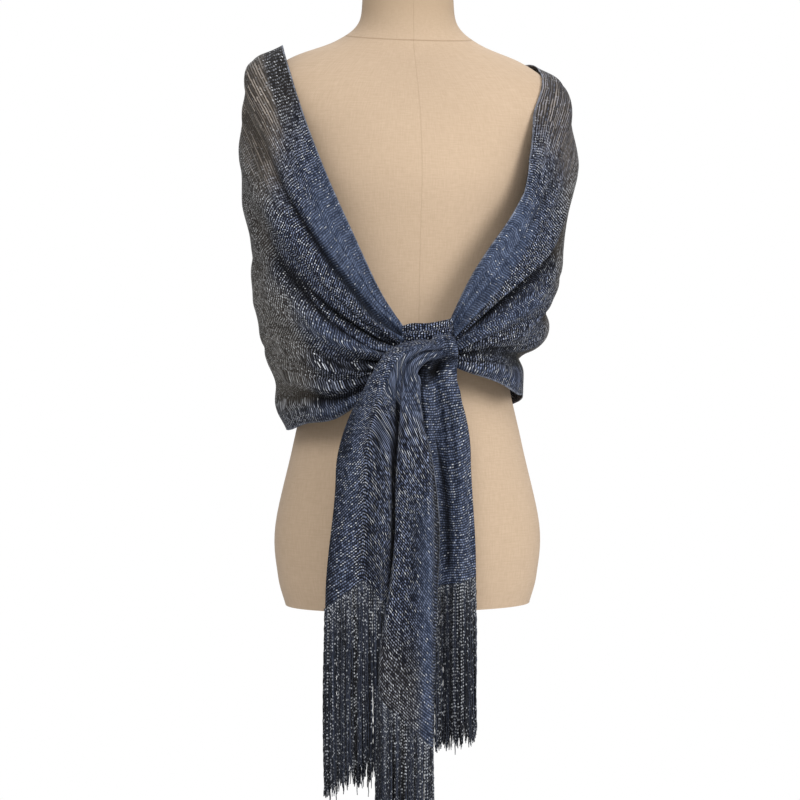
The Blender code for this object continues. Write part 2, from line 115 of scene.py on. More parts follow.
def runLength(points, axis):
    # arc length along one direction of a grid of points, or along a line of them, from its start
    steps = np.linalg.norm(np.diff(points, axis=axis), axis=-1)
    first = np.zeros_like(np.take(steps, [0], axis=axis))
    return np.concatenate((first, np.cumsum(steps, axis=axis)), axis=axis)


def pointsAt(points, lengths):
    # the points that lie so far along a line of points
    run = runLength(points, 0)
    return np.stack([np.interp(lengths, run, column) for column in points.T], axis=1)


def evenPoints(points, count, start):
    # points evenly along a curve, from a share of its length on
    fine = splineRows(points, np.linspace(0, len(points) - 1, 12 * len(points)))
    length = runLength(fine, 0)[-1]
    return pointsAt(fine, np.linspace(start * length, length, count))


def roundAxis(degrees, distance, height):
    # a line of points at one angle from the front towards -X
    spin = math.radians(degrees)
    return np.stack((-distance * math.sin(spin), -distance * math.cos(spin), height), axis=1)


def softWaves(along, across, seed, alongScale, acrossScale, count=14):
    # a smooth random field, drawn out along the cloth, about -2 to 2
    rng = np.random.default_rng(seed)
    total = np.zeros(np.broadcast(along, across).shape)
    for _ in range(count):
        phase = rng.uniform(0, 2 * math.pi)
        lengthwise = rng.normal(0, alongScale)
        widthwise = rng.uniform(0.55, 1.0) * acrossScale * rng.choice((-1, 1))
        total += np.sin(lengthwise * along + widthwise * across + phase)
    return total * math.sqrt(2 / count)


def linked(name, data):
    thing = bpy.data.objects.new(name, data)
    bpy.context.scene.collection.objects.link(thing)
    return thing


def meshObject(name, points, faces, material, uv=None, marks=None):
    mesh = bpy.data.meshes.new(name)
    mesh.from_pydata([tuple(p) for p in points], [], faces)
    mesh.materials.append(material)
    mesh.shade_smooth()
    if uv is not None:
        layer = mesh.uv_layers.new(name="clothMetres")
        corners = np.zeros(len(mesh.loops), dtype=np.int32)
        mesh.loops.foreach_get("vertex_index", corners)
        layer.data.foreach_set("uv", np.asarray(uv, dtype=np.float32)[corners].ravel())
    for key, values in (marks or {}).items():
        mark = mesh.attributes.new(key, "FLOAT", "POINT")
        mark.data.foreach_set("value", np.asarray(values, dtype=np.float32).ravel())
    return linked(name, mesh)


def gridFaces(lines, count, closed):
    # quads between lines of points; a closed line's last point is joined to its first
    sides = [(j, (j + 1) % count) for j in range(count if closed else count - 1)]
    return [(start + j, start + count + j, start + count + k, start + k)
            for start in range(0, (lines - 1) * count, count) for j, k in sides]


def gridSheet(name, grid, material, uv, marks):
    lines, count = grid.shape[:2]
    flatMarks = {key: np.broadcast_to(value, (lines, count)) for key, value in marks.items()}
    return meshObject(name, grid.reshape(-1, 3), gridFaces(lines, count, False), material,
                      uv.reshape(-1, 2), flatMarks)


def ringSolid(name, rings, material, uv=None, marks=None):
    # a closed solid through rings of points, capped at both ends
    count, length = len(rings[0]), len(rings)
    faces = [(a, d, c, b) for a, b, c, d in gridFaces(length, count, True)]
    faces += [tuple(reversed(range(count))), tuple((length - 1) * count + j for j in range(count))]
    return meshObject(name, np.concatenate(rings), faces, material, uv, marks)


def thinWall(thing, thickness, side):
    wall = thing.modifiers.new("wall", "SOLIDIFY")
    wall.thickness = thickness
    wall.offset = side


def turned(name, profile, material, steps):
    # a lathe-turned piece, its profile as radius and height from the top down
    mesh = bpy.data.meshes.new(name)
    edges = [(i, i + 1) for i in range(len(profile) - 1)]
    mesh.from_pydata([(radius, 0.0, height) for radius, height in profile], edges, [])
    mesh.materials.append(material)
    thing = linked(name, mesh)
    screw = thing.modifiers.new("turn", "SCREW")
    screw.steps = screw.render_steps = steps
    screw.use_merge_vertices = True
    screw.merge_threshold = 0.00005
    screw.use_smooth_shade = True
    return thing


def finishPiece(thing, slotName, *nodes):
    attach(thing, "root")
    if nodes:
        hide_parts(*nodes)
    return thing


knitLook = {
    "rowMm": 3.0,            # one knitted row; the real ones are 1.6 mm, too fine to show
    "stitchMm": 3.0,         # one stitch along the row
    "threadMm": 3.4,         # threads drawn out where the cloth is pulled tight over the shoulder
    "threadBreaks": 55.0,    # changes of tone along a metre of such a thread
    "wanderMm": 3.6,         # how far the rows wander over a hand's width
    "rippleMm": 1.5,         # how uneven the stitches are
    "dark": "#27304a", "pale": "#9aa8cd", "bandDark": "#414f6c", "bandPale": "#7587ac",
    "sideDark": "#131314", "sidePale": "#dad8d2", "threadDark": "#231f1d", "threadPale": "#a89d92",
    # the gap tone is painted shade between the loops
    "gap": "#07080c", "openGap": "#4a443d", "lurex": "#eef1f6", "selvage": "#878d9c",
    "silverShare": 0.21,     # how many stitches flash on flat cloth, before the patches are added
    "openShare": 0.30,       # how much of a stretched gap is clear
    "roughYarn": 0.7, "roughLurex": 0.38,
    "bumpMm": 0.8,
}


def knitMaterial(look):
    # Open plain knit of navy viscose with a flat silver lurex yarn run in. The viscose is soft
    # and dull, and the lurex is metal film, so single stitches flash white.
    material, add = newMaterial("navyViscoseLurexKnit")
    sheer, band, silverAndPaintedLight, pull, rim = (add("Attribute", attribute_name=mark).outputs["Fac"]
                                      for mark in ("sheer", "band", "silverAndPaintedLight", "pull", "rim"))
    loose = add("Math", 1.0, band, operation="SUBTRACT")
    uv = add("UVMap", uv_map="clothMetres")
    slow = add("TexNoise", uv, 14.0, 2.0, noise_dimensions="2D").outputs["Color"]
    quick = add("TexNoise", uv, 190.0, 1.0, noise_dimensions="2D").outputs["Color"]
    wander, ripple = look["wanderMm"] / 1000, look["rippleMm"] / 1000
    place = add("VectorMath", slow, (wander, wander, 0), uv, operation="MULTIPLY_ADD")
    amount = add("MapRange", loose, 0.0, 1.0, 0.1 * ripple, ripple)
    uneven = add("VectorMath", quick, amount, operation="SCALE")
    place = add("SeparateXYZ", add("VectorMath", place, uneven, operation="ADD")).outputs

    # rows across the cloth, each cut into stitches that lean and shine by chance
    rowPlace = add("Math", place[0], 1000 / look["rowMm"], operation="MULTIPLY")
    row = add("Math", rowPlace, operation="FLOOR")
    rowChance = add("TexWhiteNoise", row, noise_dimensions="1D")
    stitchPlace = add("Math", place[1], 1000 / look["stitchMm"], rowChance, operation="MULTIPLY_ADD")
    cell = add("CombineXYZ", row, add("Math", stitchPlace, operation="FLOOR"))
    chance = add("TexWhiteNoise", cell, noise_dimensions="2D")
    draws = add("SeparateColor", chance.outputs["Color"]).outputs

    # threads drawn out along the cloth where it is pulled over the shoulder
    threadPlace = add("Math", place[1], 1000 / look["threadMm"], operation="MULTIPLY")
    thread = add("Math", threadPlace, operation="FLOOR")
    lengths = add("Math", place[0], look["threadBreaks"],
                  add("TexWhiteNoise", thread, noise_dimensions="1D"), operation="MULTIPLY_ADD")
    threadCell = add("CombineXYZ", thread, add("Math", lengths, operation="FLOOR"))
    threadChance = add("TexWhiteNoise", threadCell, noise_dimensions="2D")

    # how far each point lies from the middle of its row, its stitch and its thread
    inRow, inStitch, inThread = (add("Math", add("Math", cut, operation="FRACT"), 0.5, operation="SUBTRACT")
                                 for cut in (rowPlace, stitchPlace, threadPlace))
    lean = add("Math", add("Math", draws[0], 0.5, operation="SUBTRACT"), loose, operation="MULTIPLY")
    leant = add("Math", inStitch, lean, inRow, operation="MULTIPLY_ADD")
    offRow, offStitch, offThread = (add("Math", away, operation="ABSOLUTE")
                                    for away in (leant, inStitch, inThread))

    # the viscose loops are thick and soft, the lurex a fine bright line along them
    loops, ends, line, tips, threads, edge = (
        add("MapRange", away, near, far, 1.0, 0.0, interpolation_type="SMOOTHSTEP")
        for away, near, far in ((offRow, 0.04, 0.37), (offStitch, 0.20, 0.48), (offRow, 0.08, 0.24),
                                (offStitch, 0.16, 0.42), (offThread, 0.12, 0.36), (rim, 0.0012, 0.0030)))
    ends = add("Math", ends, add("Math", band, 0.65, operation="MULTIPLY"), operation="MAXIMUM")
    rows = add("Math", loops, ends, operation="MULTIPLY")
    rows = add("Math", rows, add("Math", band, 0.3, operation="MULTIPLY"), operation="MAXIMUM")
    line = add("Math", line, tips, operation="MULTIPLY")
    threads = add("Math", threads, add("MapRange", threadChance, 0.0, 1.0, 0.55, 1.0), operation="MULTIPLY")
    yarn = add("Mix", pull, rows, threads, data_type="FLOAT")

    # how many stitches shine, and how brightly
    patch = add("TexNoise", uv, 20.0, 3.0, noise_dimensions="2D")
    # the silver mark from the relief adds flashes where a fold stands out, as a painted highlight
    share = add("Math", silverAndPaintedLight, 0.20, look["silverShare"], operation="MULTIPLY_ADD")
    share = add("Math", patch, 0.30, share, operation="MULTIPLY_ADD")
    share = add("Math", share, add("Math", band, -0.80, 1.0, operation="MULTIPLY_ADD"), operation="MULTIPLY")
    flash = add("Math", chance, share, operation="LESS_THAN")
    for factor in (add("Math", draws[2], 1.3, operation="POWER"), line,
                   add("Math", pull, -0.6, 1.0, operation="MULTIPLY_ADD")):
        flash = add("Math", flash, factor, operation="MULTIPLY")

    # dark and pale yarn in the plain cloth, the dense bands, the open sides and the drawn threads
    light = add("Math", draws[1], 1.3, operation="POWER")
    bandLight = add("Math", rowChance, 0.55, add("Math", draws[1], 0.45, operation="MULTIPLY"),
                    operation="MULTIPLY_ADD")
    sideLight = add("Math", draws[1], 1.2, operation="POWER")
    tone, bandTone, sideTone, threadTone = (
        add("Mix", lit, look[dark], look[pale], data_type="RGBA")
        for lit, dark, pale in (
            (light, "dark", "pale"), (bandLight, "bandDark", "bandPale"),
            (sideLight, "sideDark", "sidePale"), (threadChance, "threadDark", "threadPale")))
    tone = add("Mix", band, tone, bandTone, data_type="RGBA")
    sideTone = add("Mix", pull, sideTone, threadTone, data_type="RGBA")
    tone = add("Mix", sheer, tone, sideTone, data_type="RGBA")
    # painted shade: where the silver mark is below nought, in troughs and hollows, the yarn is darkened
    # towards the gap tone; that tone is near black as painted shade between the loops, browner where the
    # cloth is stretched
    troughShade = add("Math", silverAndPaintedLight, -0.85, operation="MULTIPLY", use_clamp=True)
    body = add("Math", yarn, add("Math", 1.0, troughShade, operation="SUBTRACT"), operation="MULTIPLY")
    stretched = add("MapRange", sheer, 0.45, 0.85)
    gapTone = add("Mix", stretched, look["gap"], look["openGap"], data_type="RGBA")
    tone = add("Mix", body, gapTone, tone, data_type="RGBA")
    tone = add("Mix", flash, tone, look["lurex"], data_type="RGBA")
    beads = add("Math", edge, add("MapRange", rowChance, 0.0, 1.0, 0.15, 0.9), operation="MULTIPLY")
    tone = add("Mix", beads, tone, look["selvage"], data_type="RGBA")

    # light passes between the loops where the cloth is stretched, less through a thick loop's edge
    cover = add("Math", yarn, 1.4, operation="MULTIPLY", use_clamp=True)
    for dense in (flash, edge):
        cover = add("Math", cover, dense, operation="MAXIMUM")
    clear = add("Math", stretched, look["openShare"], operation="MULTIPLY")
    holes = add("Math", add("Math", 1.0, cover, operation="SUBTRACT"), clear, operation="MULTIPLY")
    thick = add("Math", draws[2], 0.5, 0.6, operation="MULTIPLY_ADD")
    height = add("Math", yarn, thick, operation="MULTIPLY")
    add("OutputMaterial", add("BsdfPrincipled", {
        "Base Color": tone,
        "Metallic": add("Math", flash, 0.8, operation="MULTIPLY"),
        "Roughness": add("MapRange", flash, 0.0, 1.0, look["roughYarn"], look["roughLurex"]),
        "Alpha": add("Math", 1.0, holes, operation="SUBTRACT"),
        "Normal": add("Bump", {"Height": height, "Distance": look["bumpMm"] / 1000, "Strength": 0.9}),
        "Specular IOR Level": 0.12, "Sheen Weight": 0.04, "Sheen Roughness": 0.4,
    }))
    return material


yarnLook = {
    "twistMm": 3.6,          # one flash of lurex along a strand
    "dark": "#08090d", "pale": "#3d4456", "lurex": "#dfe3ea",
    "silverLeast": 0.05, "silverMost": 0.78,
    "roughYarn": 0.66, "roughLurex": 0.36, "bumpMm": 0.3,
}


def fringeMaterial(look):
    # The same two yarns plied into strands. The turning film makes a row of short flashes,
    # on some strands close together and on others far apart.
    material, add = newMaterial("pliedFringeYarn")
    along, strand, _ = add("SeparateXYZ", add("UVMap", uv_map="clothMetres")).outputs
    strandChance = add("TexWhiteNoise", strand, noise_dimensions="1D")
    turns = add("Math", along, 1000 / look["twistMm"], strandChance, operation="MULTIPLY_ADD")
    inTurn = add("Math", add("Math", turns, operation="FRACT"), 0.5, operation="SUBTRACT")
    cell = add("CombineXYZ", add("Math", turns, operation="FLOOR"), strand)
    chance = add("TexWhiteNoise", cell, noise_dimensions="2D")
    draws = add("SeparateColor", chance.outputs["Color"]).outputs
    body = add("MapRange", add("Math", inTurn, operation="ABSOLUTE"), 0.08, 0.30, 1.0, 0.0)
    share = add("MapRange", add("Math", strandChance, 2.5, operation="POWER"), 0.0, 1.0,
                look["silverLeast"], look["silverMost"])
    # the film shows most in the loops at the head of the fringe
    share = add("Math", share, add("MapRange", along, 0.0, 0.07, 1.9, 1.0), operation="MULTIPLY")
    flash = add("Math", chance, share, operation="LESS_THAN")
    for factor in (body, add("MapRange", draws[2], 0.0, 1.0, 0.25, 1.0)):
        flash = add("Math", flash, factor, operation="MULTIPLY")
    strandLight = add("TexWhiteNoise", add("Math", strand, 0.37, operation="ADD"), noise_dimensions="1D")
    light = add("Math", add("Math", draws[1], 0.5, 0.5, operation="MULTIPLY_ADD"),
                add("Math", strandLight, 1.8, operation="POWER"), operation="MULTIPLY")
    tone = add("Mix", light, look["dark"], look["pale"], data_type="RGBA")
    add("OutputMaterial", add("BsdfPrincipled", {
        "Base Color": add("Mix", flash, tone, look["lurex"], data_type="RGBA"),
        "Metallic": add("Math", flash, 0.75, operation="MULTIPLY"),
        "Roughness": add("MapRange", flash, 0.0, 1.0, look["roughYarn"], look["roughLurex"]),
        "Normal": add("Bump", {"Height": body, "Distance": look["bumpMm"] / 1000, "Strength": 0.8}),
        "Specular IOR Level": 0.2, "Sheen Weight": 0.04,
    }))
    return material


linenLook = {
    "threadMm": 1.6,         # real threads are 0.5 mm, drawn coarser so that the weave shows
    "wrapRadius": 0.13,      # metres of cloth for each radian round the form
    "base": "#c4ab91", "pale": "#d0baa0", "dark": "#ac9478", "seam": "#9c8266",
    "seamMm": 0.8, "neckSeam": 1.439, "neckSlope": 0.30,
    "paintedNeckShade": 0.7,          # how dark the neck is painted, as shade towards its top
    "bumpMm": 0.4,
}


def linenMaterial(look):
    # Natural flax linen, plain weave, unbleached and matt. Uneven threads give short slubs.
    material, add = newMaterial("naturalLinen")
    place = add("NewGeometry").outputs["Position"]
    across, fore, up = add("SeparateXYZ", place).outputs
    # round the form by angle, so that the warp runs up it on every side
    turn = add("Math", across, fore, operation="ARCTAN2")
    turn = add("Math", turn, look["wrapRadius"], operation="MULTIPLY")
    cloth = add("CombineXYZ", turn, up)
    waves = 2 * math.pi * 1000 / look["threadMm"]
    warp, weft = (add("Math", add("Math", way, waves, operation="MULTIPLY"), operation="SINE")
                  for way in (turn, up))
    weave = add("Math", warp, weft, operation="MULTIPLY")
    upright, level = (add("TexNoise", add("Mapping", {"Vector": cloth, "Scale": scale}), 1.0, 2.0)
                      for scale in ((620.0, 75.0, 1.0), (75.0, 620.0, 1.0)))
    slub = add("Math", upright, level, operation="ADD")
    patch = add("TexNoise", place, 9.0, 4.0)
    tone = add("Mix", add("MapRange", slub, 0.72, 1.28), look["dark"], look["pale"], data_type="RGBA")
    tone = add("Mix", 0.72, tone, look["base"], data_type="RGBA")
    # random stains, and painted shade that darkens the neck towards its top
    stainAndNeckShade = add("Math", add("MapRange", patch, 0.3, 0.8, 0.0, 0.16),
                add("MapRange", up, 1.425, 1.470, 0.0, look["paintedNeckShade"]), operation="MAXIMUM")
    tone = add("Mix", stainAndNeckShade, tone, look["dark"], data_type="RGBA")
    # centre front and centre back seams, hardly seen, and the seam round the neck
    neckLine = add("Math", fore, look["neckSlope"], look["neckSeam"], operation="MULTIPLY_ADD")
    uprightSeam, neckSeam = (
        add("MapRange", add("Math", away, operation="ABSOLUTE"), look["seamMm"] / 2600, look["seamMm"] / 800,
            1.0, 0.0, interpolation_type="SMOOTHSTEP")
        for away in (across, add("Math", up, neckLine, operation="SUBTRACT")))
    groove = add("Math", uprightSeam, 0.35, neckSeam, operation="MULTIPLY_ADD")
    tone = add("Mix", add("Math", groove, 0.6, operation="MULTIPLY"), tone, look["seam"], data_type="RGBA")
    height = add("Math", slub, 0.7, add("Math", weave, 0.25, operation="MULTIPLY"), operation="MULTIPLY_ADD")
    height = add("Math", groove, -2.0, height, operation="MULTIPLY_ADD")
    add("OutputMaterial", add("BsdfPrincipled", {
        "Base Color": tone, "Roughness": 0.86, "Sheen Weight": 0.1,
        "Normal": add("Bump", {"Height": height, "Distance": look["bumpMm"] / 1000, "Strength": 0.5}),
    }))
    return material


beechLook = {"ringMm": 1.4, "pale": "#cfa678", "dark": "#b98d5c", "rough": 0.42}


def beechMaterial(look):
    # Steamed beech, turned and oiled. Fine pinkish brown grain with short dark flecks.
    material, add = newMaterial("oiledBeech")
    squeezed = add("Mapping", {"Vector": add("NewGeometry").outputs["Position"], "Scale": (1.0, 0.08, 1.0)})
    rings = add("TexWave", squeezed, 50 / look["ringMm"], 2.5, 3.0, 2.0, bands_direction="X").outputs["Fac"]
    flecks = add("TexNoise", squeezed, 900.0, 2.0)
    share = add("MapRange", add("Math", flecks, 0.5, rings, operation="MULTIPLY_ADD"), 0.2, 1.3)
    add("OutputMaterial", add("BsdfPrincipled", {
        "Base Color": add("Mix", share, look["dark"], look["pale"], data_type="RGBA"),
        "Roughness": look["rough"], "Coat Weight": 0.15,
        "Normal": add("Bump", {"Height": flecks, "Distance": 0.0002, "Strength": 0.3}),
    }))
    return material


enamelLook = {"base": "#17181a", "worn": "#2c2d2f", "rough": 0.34}


def enamelMaterial(look):
    # Stove enamelled steel: a thick black glassy paint with a slight orange peel.
    material, add = newMaterial("blackStoveEnamel")
    place = add("NewGeometry").outputs["Position"]
    peel = add("TexNoise", place, 420.0, 1.0)
    dust = add("TexNoise", place, 14.0, 5.0)
    share = add("MapRange", dust, 0.45, 0.8)
    add("OutputMaterial", add("BsdfPrincipled", {
        "Base Color": add("Mix", share, look["base"], look["worn"], data_type="RGBA"),
        "Roughness": add("MapRange", dust, 0.0, 1.0, look["rough"] - 0.06, look["rough"] + 0.16),
        "Normal": add("Bump", {"Height": peel, "Distance": 0.0001, "Strength": 0.25}),
    }))
    return material


knit = knitMaterial(knitLook)
fringeYarn = fringeMaterial(yarnLook)
linen = linenMaterial(linenLook)
beech = beechMaterial(beechLook)
enamel = enamelMaterial(enamelLook)
print("materials made")


# ring: heights at front, side and back, half width, depth in front and behind, outline exponent
formRings = {
    "bottom": (.755, .755, .755, .148, .087, .1, 2.2),
    "lowHip": (.79, .79, .79, .157, .093, .11, 2.2),
    "hip": (.85, .85, .85, .16, .097, .116, 2.2),
    "highHip": (.95, .95, .95, .138, .094, .105, 2.1),
    "waist": (1.05, 1.05, 1.05, .119, .086, .088, 2),
    "rib": (1.14, 1.14, 1.14, .13, .094, .087, 2),
    "underBust": (1.2, 1.2, 1.2, .142, .104, .092, 2),
    "bust": (1.26, 1.255, 1.26, .15, .115, .098, 2.1),
    "chest": (1.315, 1.3, 1.315, .16, .106, .103, 2.2),
    "armhole": (1.35, 1.336, 1.36, .177, .09, .103, 2.3),
    "shoulderTip": (1.378, 1.366, 1.392, .187, .073, .09, 2.3),
    "shoulder": (1.396, 1.388, 1.412, .172, .061, .075, 2.2),
    "yoke": (1.409, 1.41, 1.428, .14, .053, .063, 2),
    "neckRoot": (1.421, 1.43, 1.444, .09, .048, .056, 2),
    "neckFoot": (1.44, 1.453, 1.462, .061, .046, .051, 2),
    "neck": (1.484, 1.488, 1.49, .055, .045, .048, 2),
    "neckTop": (1.53, 1.53, 1.53, .054, .046, .047, 2),
}
formShape = {"stepsBetween": 7, "pointsRound": 120, "sharpFrom": 50}


def formRing(row, count):
    frontZ, sideZ, backZ, halfWidth, front, back, square = row
    angles = np.linspace(0, 2 * math.pi, count, endpoint=False)
    side, fore = np.sin(angles), np.cos(angles)
    bend = 2.0 / square
    depth = np.where(fore > 0, front, back)
    endZ = np.where(fore > 0, frontZ, backZ)
    return np.stack((halfWidth * np.sign(side) * np.abs(side) ** bend,
                     -depth * np.sign(fore) * np.abs(fore) ** bend,
                     sideZ * side ** 2 + endZ * fore ** 2), axis=1)


def makeForm(shape):
    rings = [formRing(row, shape["pointsRound"]) for row in fineRows(formRings, shape["stepsBetween"])]
    form = ringSolid("formTorso", rings, linen)
    form.data.set_sharp_from_angle(angle=math.radians(shape["sharpFrom"]))
    return finishPiece(form, "linen", "form_torso")


# metres: heights of the cap, radii and collar of the pole, then radius and drop below the top for the
# cap's edge and the base's hub, and radius and height for the base's dish
standShape = {
    "neckTop": 1.530, "capHeight": 0.016, "seam": 0.0003,
    "pole": 0.0145, "flange": 0.045, "collar": 0.021, "collarLow": 0.560, "collarHigh": 0.596,
    "sharpFrom": 40,
    "capEdge": ((0.0, 0.0), (0.020, 0.0005), (0.033, 0.0018), (0.040, 0.0040), (0.0445, 0.0074),
                (0.0458, 0.0105)),
    "baseHub": ((0.0, 0.0), (0.0285, 0.0), (0.0300, 0.0008), (0.033, 0.0035), (0.036, 0.005)),
    "baseDish": ((0.055, 0.0186), (0.080, 0.0165), (0.110, 0.0141), (0.140, 0.0120), (0.180, 0.0104),
                 (0.214, 0.0090), (0.2180, 0.0078), (0.2200, 0.0050), (0.2200, 0.0015), (0.2180, 0.0),
                 (0.0, 0.0)),
}


def makeStand(shape):
    low = shape["neckTop"] + shape["seam"]
    high = low + shape["capHeight"]
    profile = [(radius, high - drop) for radius, drop in shape["capEdge"]]
    profile += [(0.0460, low + 0.002), (0.0455, low + 0.0006), (0.045, low), (0.0, low)]
    finishPiece(turned("formNeckCap", profile, beech, 128), "beech", "form_neck_cap")

    low, high = (corner.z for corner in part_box("form_pole"))
    pole, flange, collar = shape["pole"], shape["flange"], shape["collar"]
    collarLow, collarHigh = shape["collarLow"], shape["collarHigh"]
    profile = [(0.0, high), (flange - 0.001, high), (flange, high - 0.001), (flange, high - 0.0072),
               (flange - 0.0012, high - 0.0084), (0.020, high - 0.012), (pole, high - 0.016),
               (pole, collarHigh), (collar - 0.002, collarHigh), (collar, collarHigh - 0.002),
               (collar, collarLow + 0.002), (collar - 0.002, collarLow), (pole, collarLow),
               (pole, low), (0.0, low)]
    piece = turned("formPole", profile, enamel, 96)
    piece.data.set_sharp_from_angle(angle=math.radians(shape["sharpFrom"]))
    finishPiece(piece, "enamelled_steel", "form_pole")

    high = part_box("form_base")[1].z
    profile = [(radius, high - drop) for radius, drop in shape["baseHub"]] + list(shape["baseDish"])
    finishPiece(turned("formBase", profile, enamel, 160), "enamelled_steel", "form_base")


form = makeForm(formShape)
makeStand(standShape)
print("dress form made")


# section: angle from the front towards -X, then distance from the axis and height at six
# places from the upper edge to the hem
wrapSections = {
    "leftKnot": (10, .12, 1.079, .126, 1.072, .13, 1.064, .131, 1.054, .127, 1.044, .12, 1.034),
    "leftLow": (24, .129, 1.132, .139, 1.101, .146, 1.08, .148, 1.055, .144, 1.03, .138, 1.009),
    "leftMiddle": (40, .145, 1.221, .16, 1.165, .166, 1.122, .166, 1.075, .159, 1.02, .15, .98),
    "leftBreast": (56, .155, 1.314, .179, 1.247, .188, 1.19, .186, 1.1, .168, 1.024, .153, .974),
    "leftStrap": (71, .153, 1.383, .192, 1.328, .198, 1.25, .189, 1.112, .167, 1.025, .151, .966),
    "leftShoulder": (90, .151, 1.424, .196, 1.391, .199, 1.284, .185, 1.124, .166, 1.03, .1455, .966),
    "leftBlade": (113, .149, 1.413, .178, 1.374, .185, 1.276, .173, 1.118, .156, 1.028, .146, .972),
    "leftBack": (145, .13, 1.389, .138, 1.35, .143, 1.27, .138, 1.12, .131, 1.016, .134, .951),
    "middleBack": (180, .109, 1.376, .116, 1.34, .119, 1.26, .117, 1.12, .116, 1.01, .122, .935),
    "rightBack": (215, .131, 1.384, .139, 1.345, .144, 1.265, .137, 1.12, .129, 1.02, .133, .96),
    "rightBlade": (247, .146, 1.413, .18, 1.368, .188, 1.27, .166, 1.104, .143, 1.04, .141, .991),
    "rightShoulder": (270, .159, 1.407, .196, 1.378, .198, 1.276, .164, 1.092, .136, 1.042, .137, 1),
    "rightStrap": (291, .156, 1.354, .189, 1.318, .195, 1.24, .168, 1.092, .139, 1.044, .137, 1.006),
    "rightBreast": (305, .152, 1.283, .176, 1.24, .183, 1.18, .17, 1.094, .147, 1.046, .141, 1.007),
    "rightMiddle": (321, .147, 1.205, .16, 1.175, .165, 1.136, .161, 1.088, .149, 1.052, .141, 1.02),
    "rightLow": (336, .134, 1.139, .145, 1.12, .151, 1.098, .152, 1.075, .146, 1.051, .137, 1.031),
    "rightKnot": (346, .121, 1.084, .128, 1.077, .133, 1.068, .133, 1.059, .13, 1.049, .123, 1.041),
}
# fold: first and last section, its place as a share of the width at both, its own width at both,
# its height at both
wrapFolds = {
    "leftEdgeRoll": (0, 5, .06, .07, .05, .07, .003, .003),
    "leftBandCrease": (0, 5.6, .23, .16, .045, .035, -.006, -.003),
    "leftSilverRidge": (0, 5.4, .34, .28, .05, .06, .005, .005),
    "leftDeepCrease": (0, 4.8, .46, .42, .045, .045, -.007, -.006),
    "leftPuff": (0, 4.2, .58, .58, .06, .08, .006, .005),
    "leftLowCrease": (0, 2.6, .71, .7, .045, .05, -.005, -.004),
    "leftHemCrease": (0, 6.5, .895, .89, .04, .035, -.005, -.004),
    "leftHemRoll": (0, 7, .95, .95, .05, .045, .004, .005),
    "backEdgeRoll": (5, 11, .04, .04, .04, .04, .004, .003),
    "upperTrough": (5.9, 9.4, .11, .17, .028, .045, -.005, -.0026),
    "upperSwag": (5.7, 10.6, .18, .23, .04, .06, .005, .0062),
    "swagCrease": (6, 9.6, .3, .34, .04, .026, -.0034, -.0056),
    "middleSwag": (6.4, 10.4, .45, .41, .06, .08, .0042, .0054),
    "lowCrease": (6.2, 9, .6, .51, .03, .05, -.0046, -.003),
    "lowSwag": (5.8, 10.8, .67, .7, .085, .05, .0028, .005),
    "backHemCrease": (6.3, 10.4, .86, .82, .05, .036, -.0026, -.0044),
    "rightEdgeRoll": (11, 16, .06, .06, .06, .05, .002, .003),
    "rightBandCrease": (10.6, 16, .17, .24, .035, .045, -.0034, -.0018),
    "rightSilverRidge": (10.8, 16, .3, .35, .06, .05, .005, .005),
    "rightDeepCrease": (11.4, 16, .46, .48, .045, .045, -.006, -.007),
    "rightFold": (11.2, 16, .6, .6, .06, .06, .006, .006),
    "rightPocket": (10.4, 14.6, .83, .72, .045, .06, .0055, .007),
    "rightPocketCrease": (10.2, 16, .905, .78, .028, .04, -.008, -.005),
    "rightHemRoll": (9.5, 16, .94, .94, .05, .05, .005, .004),
}
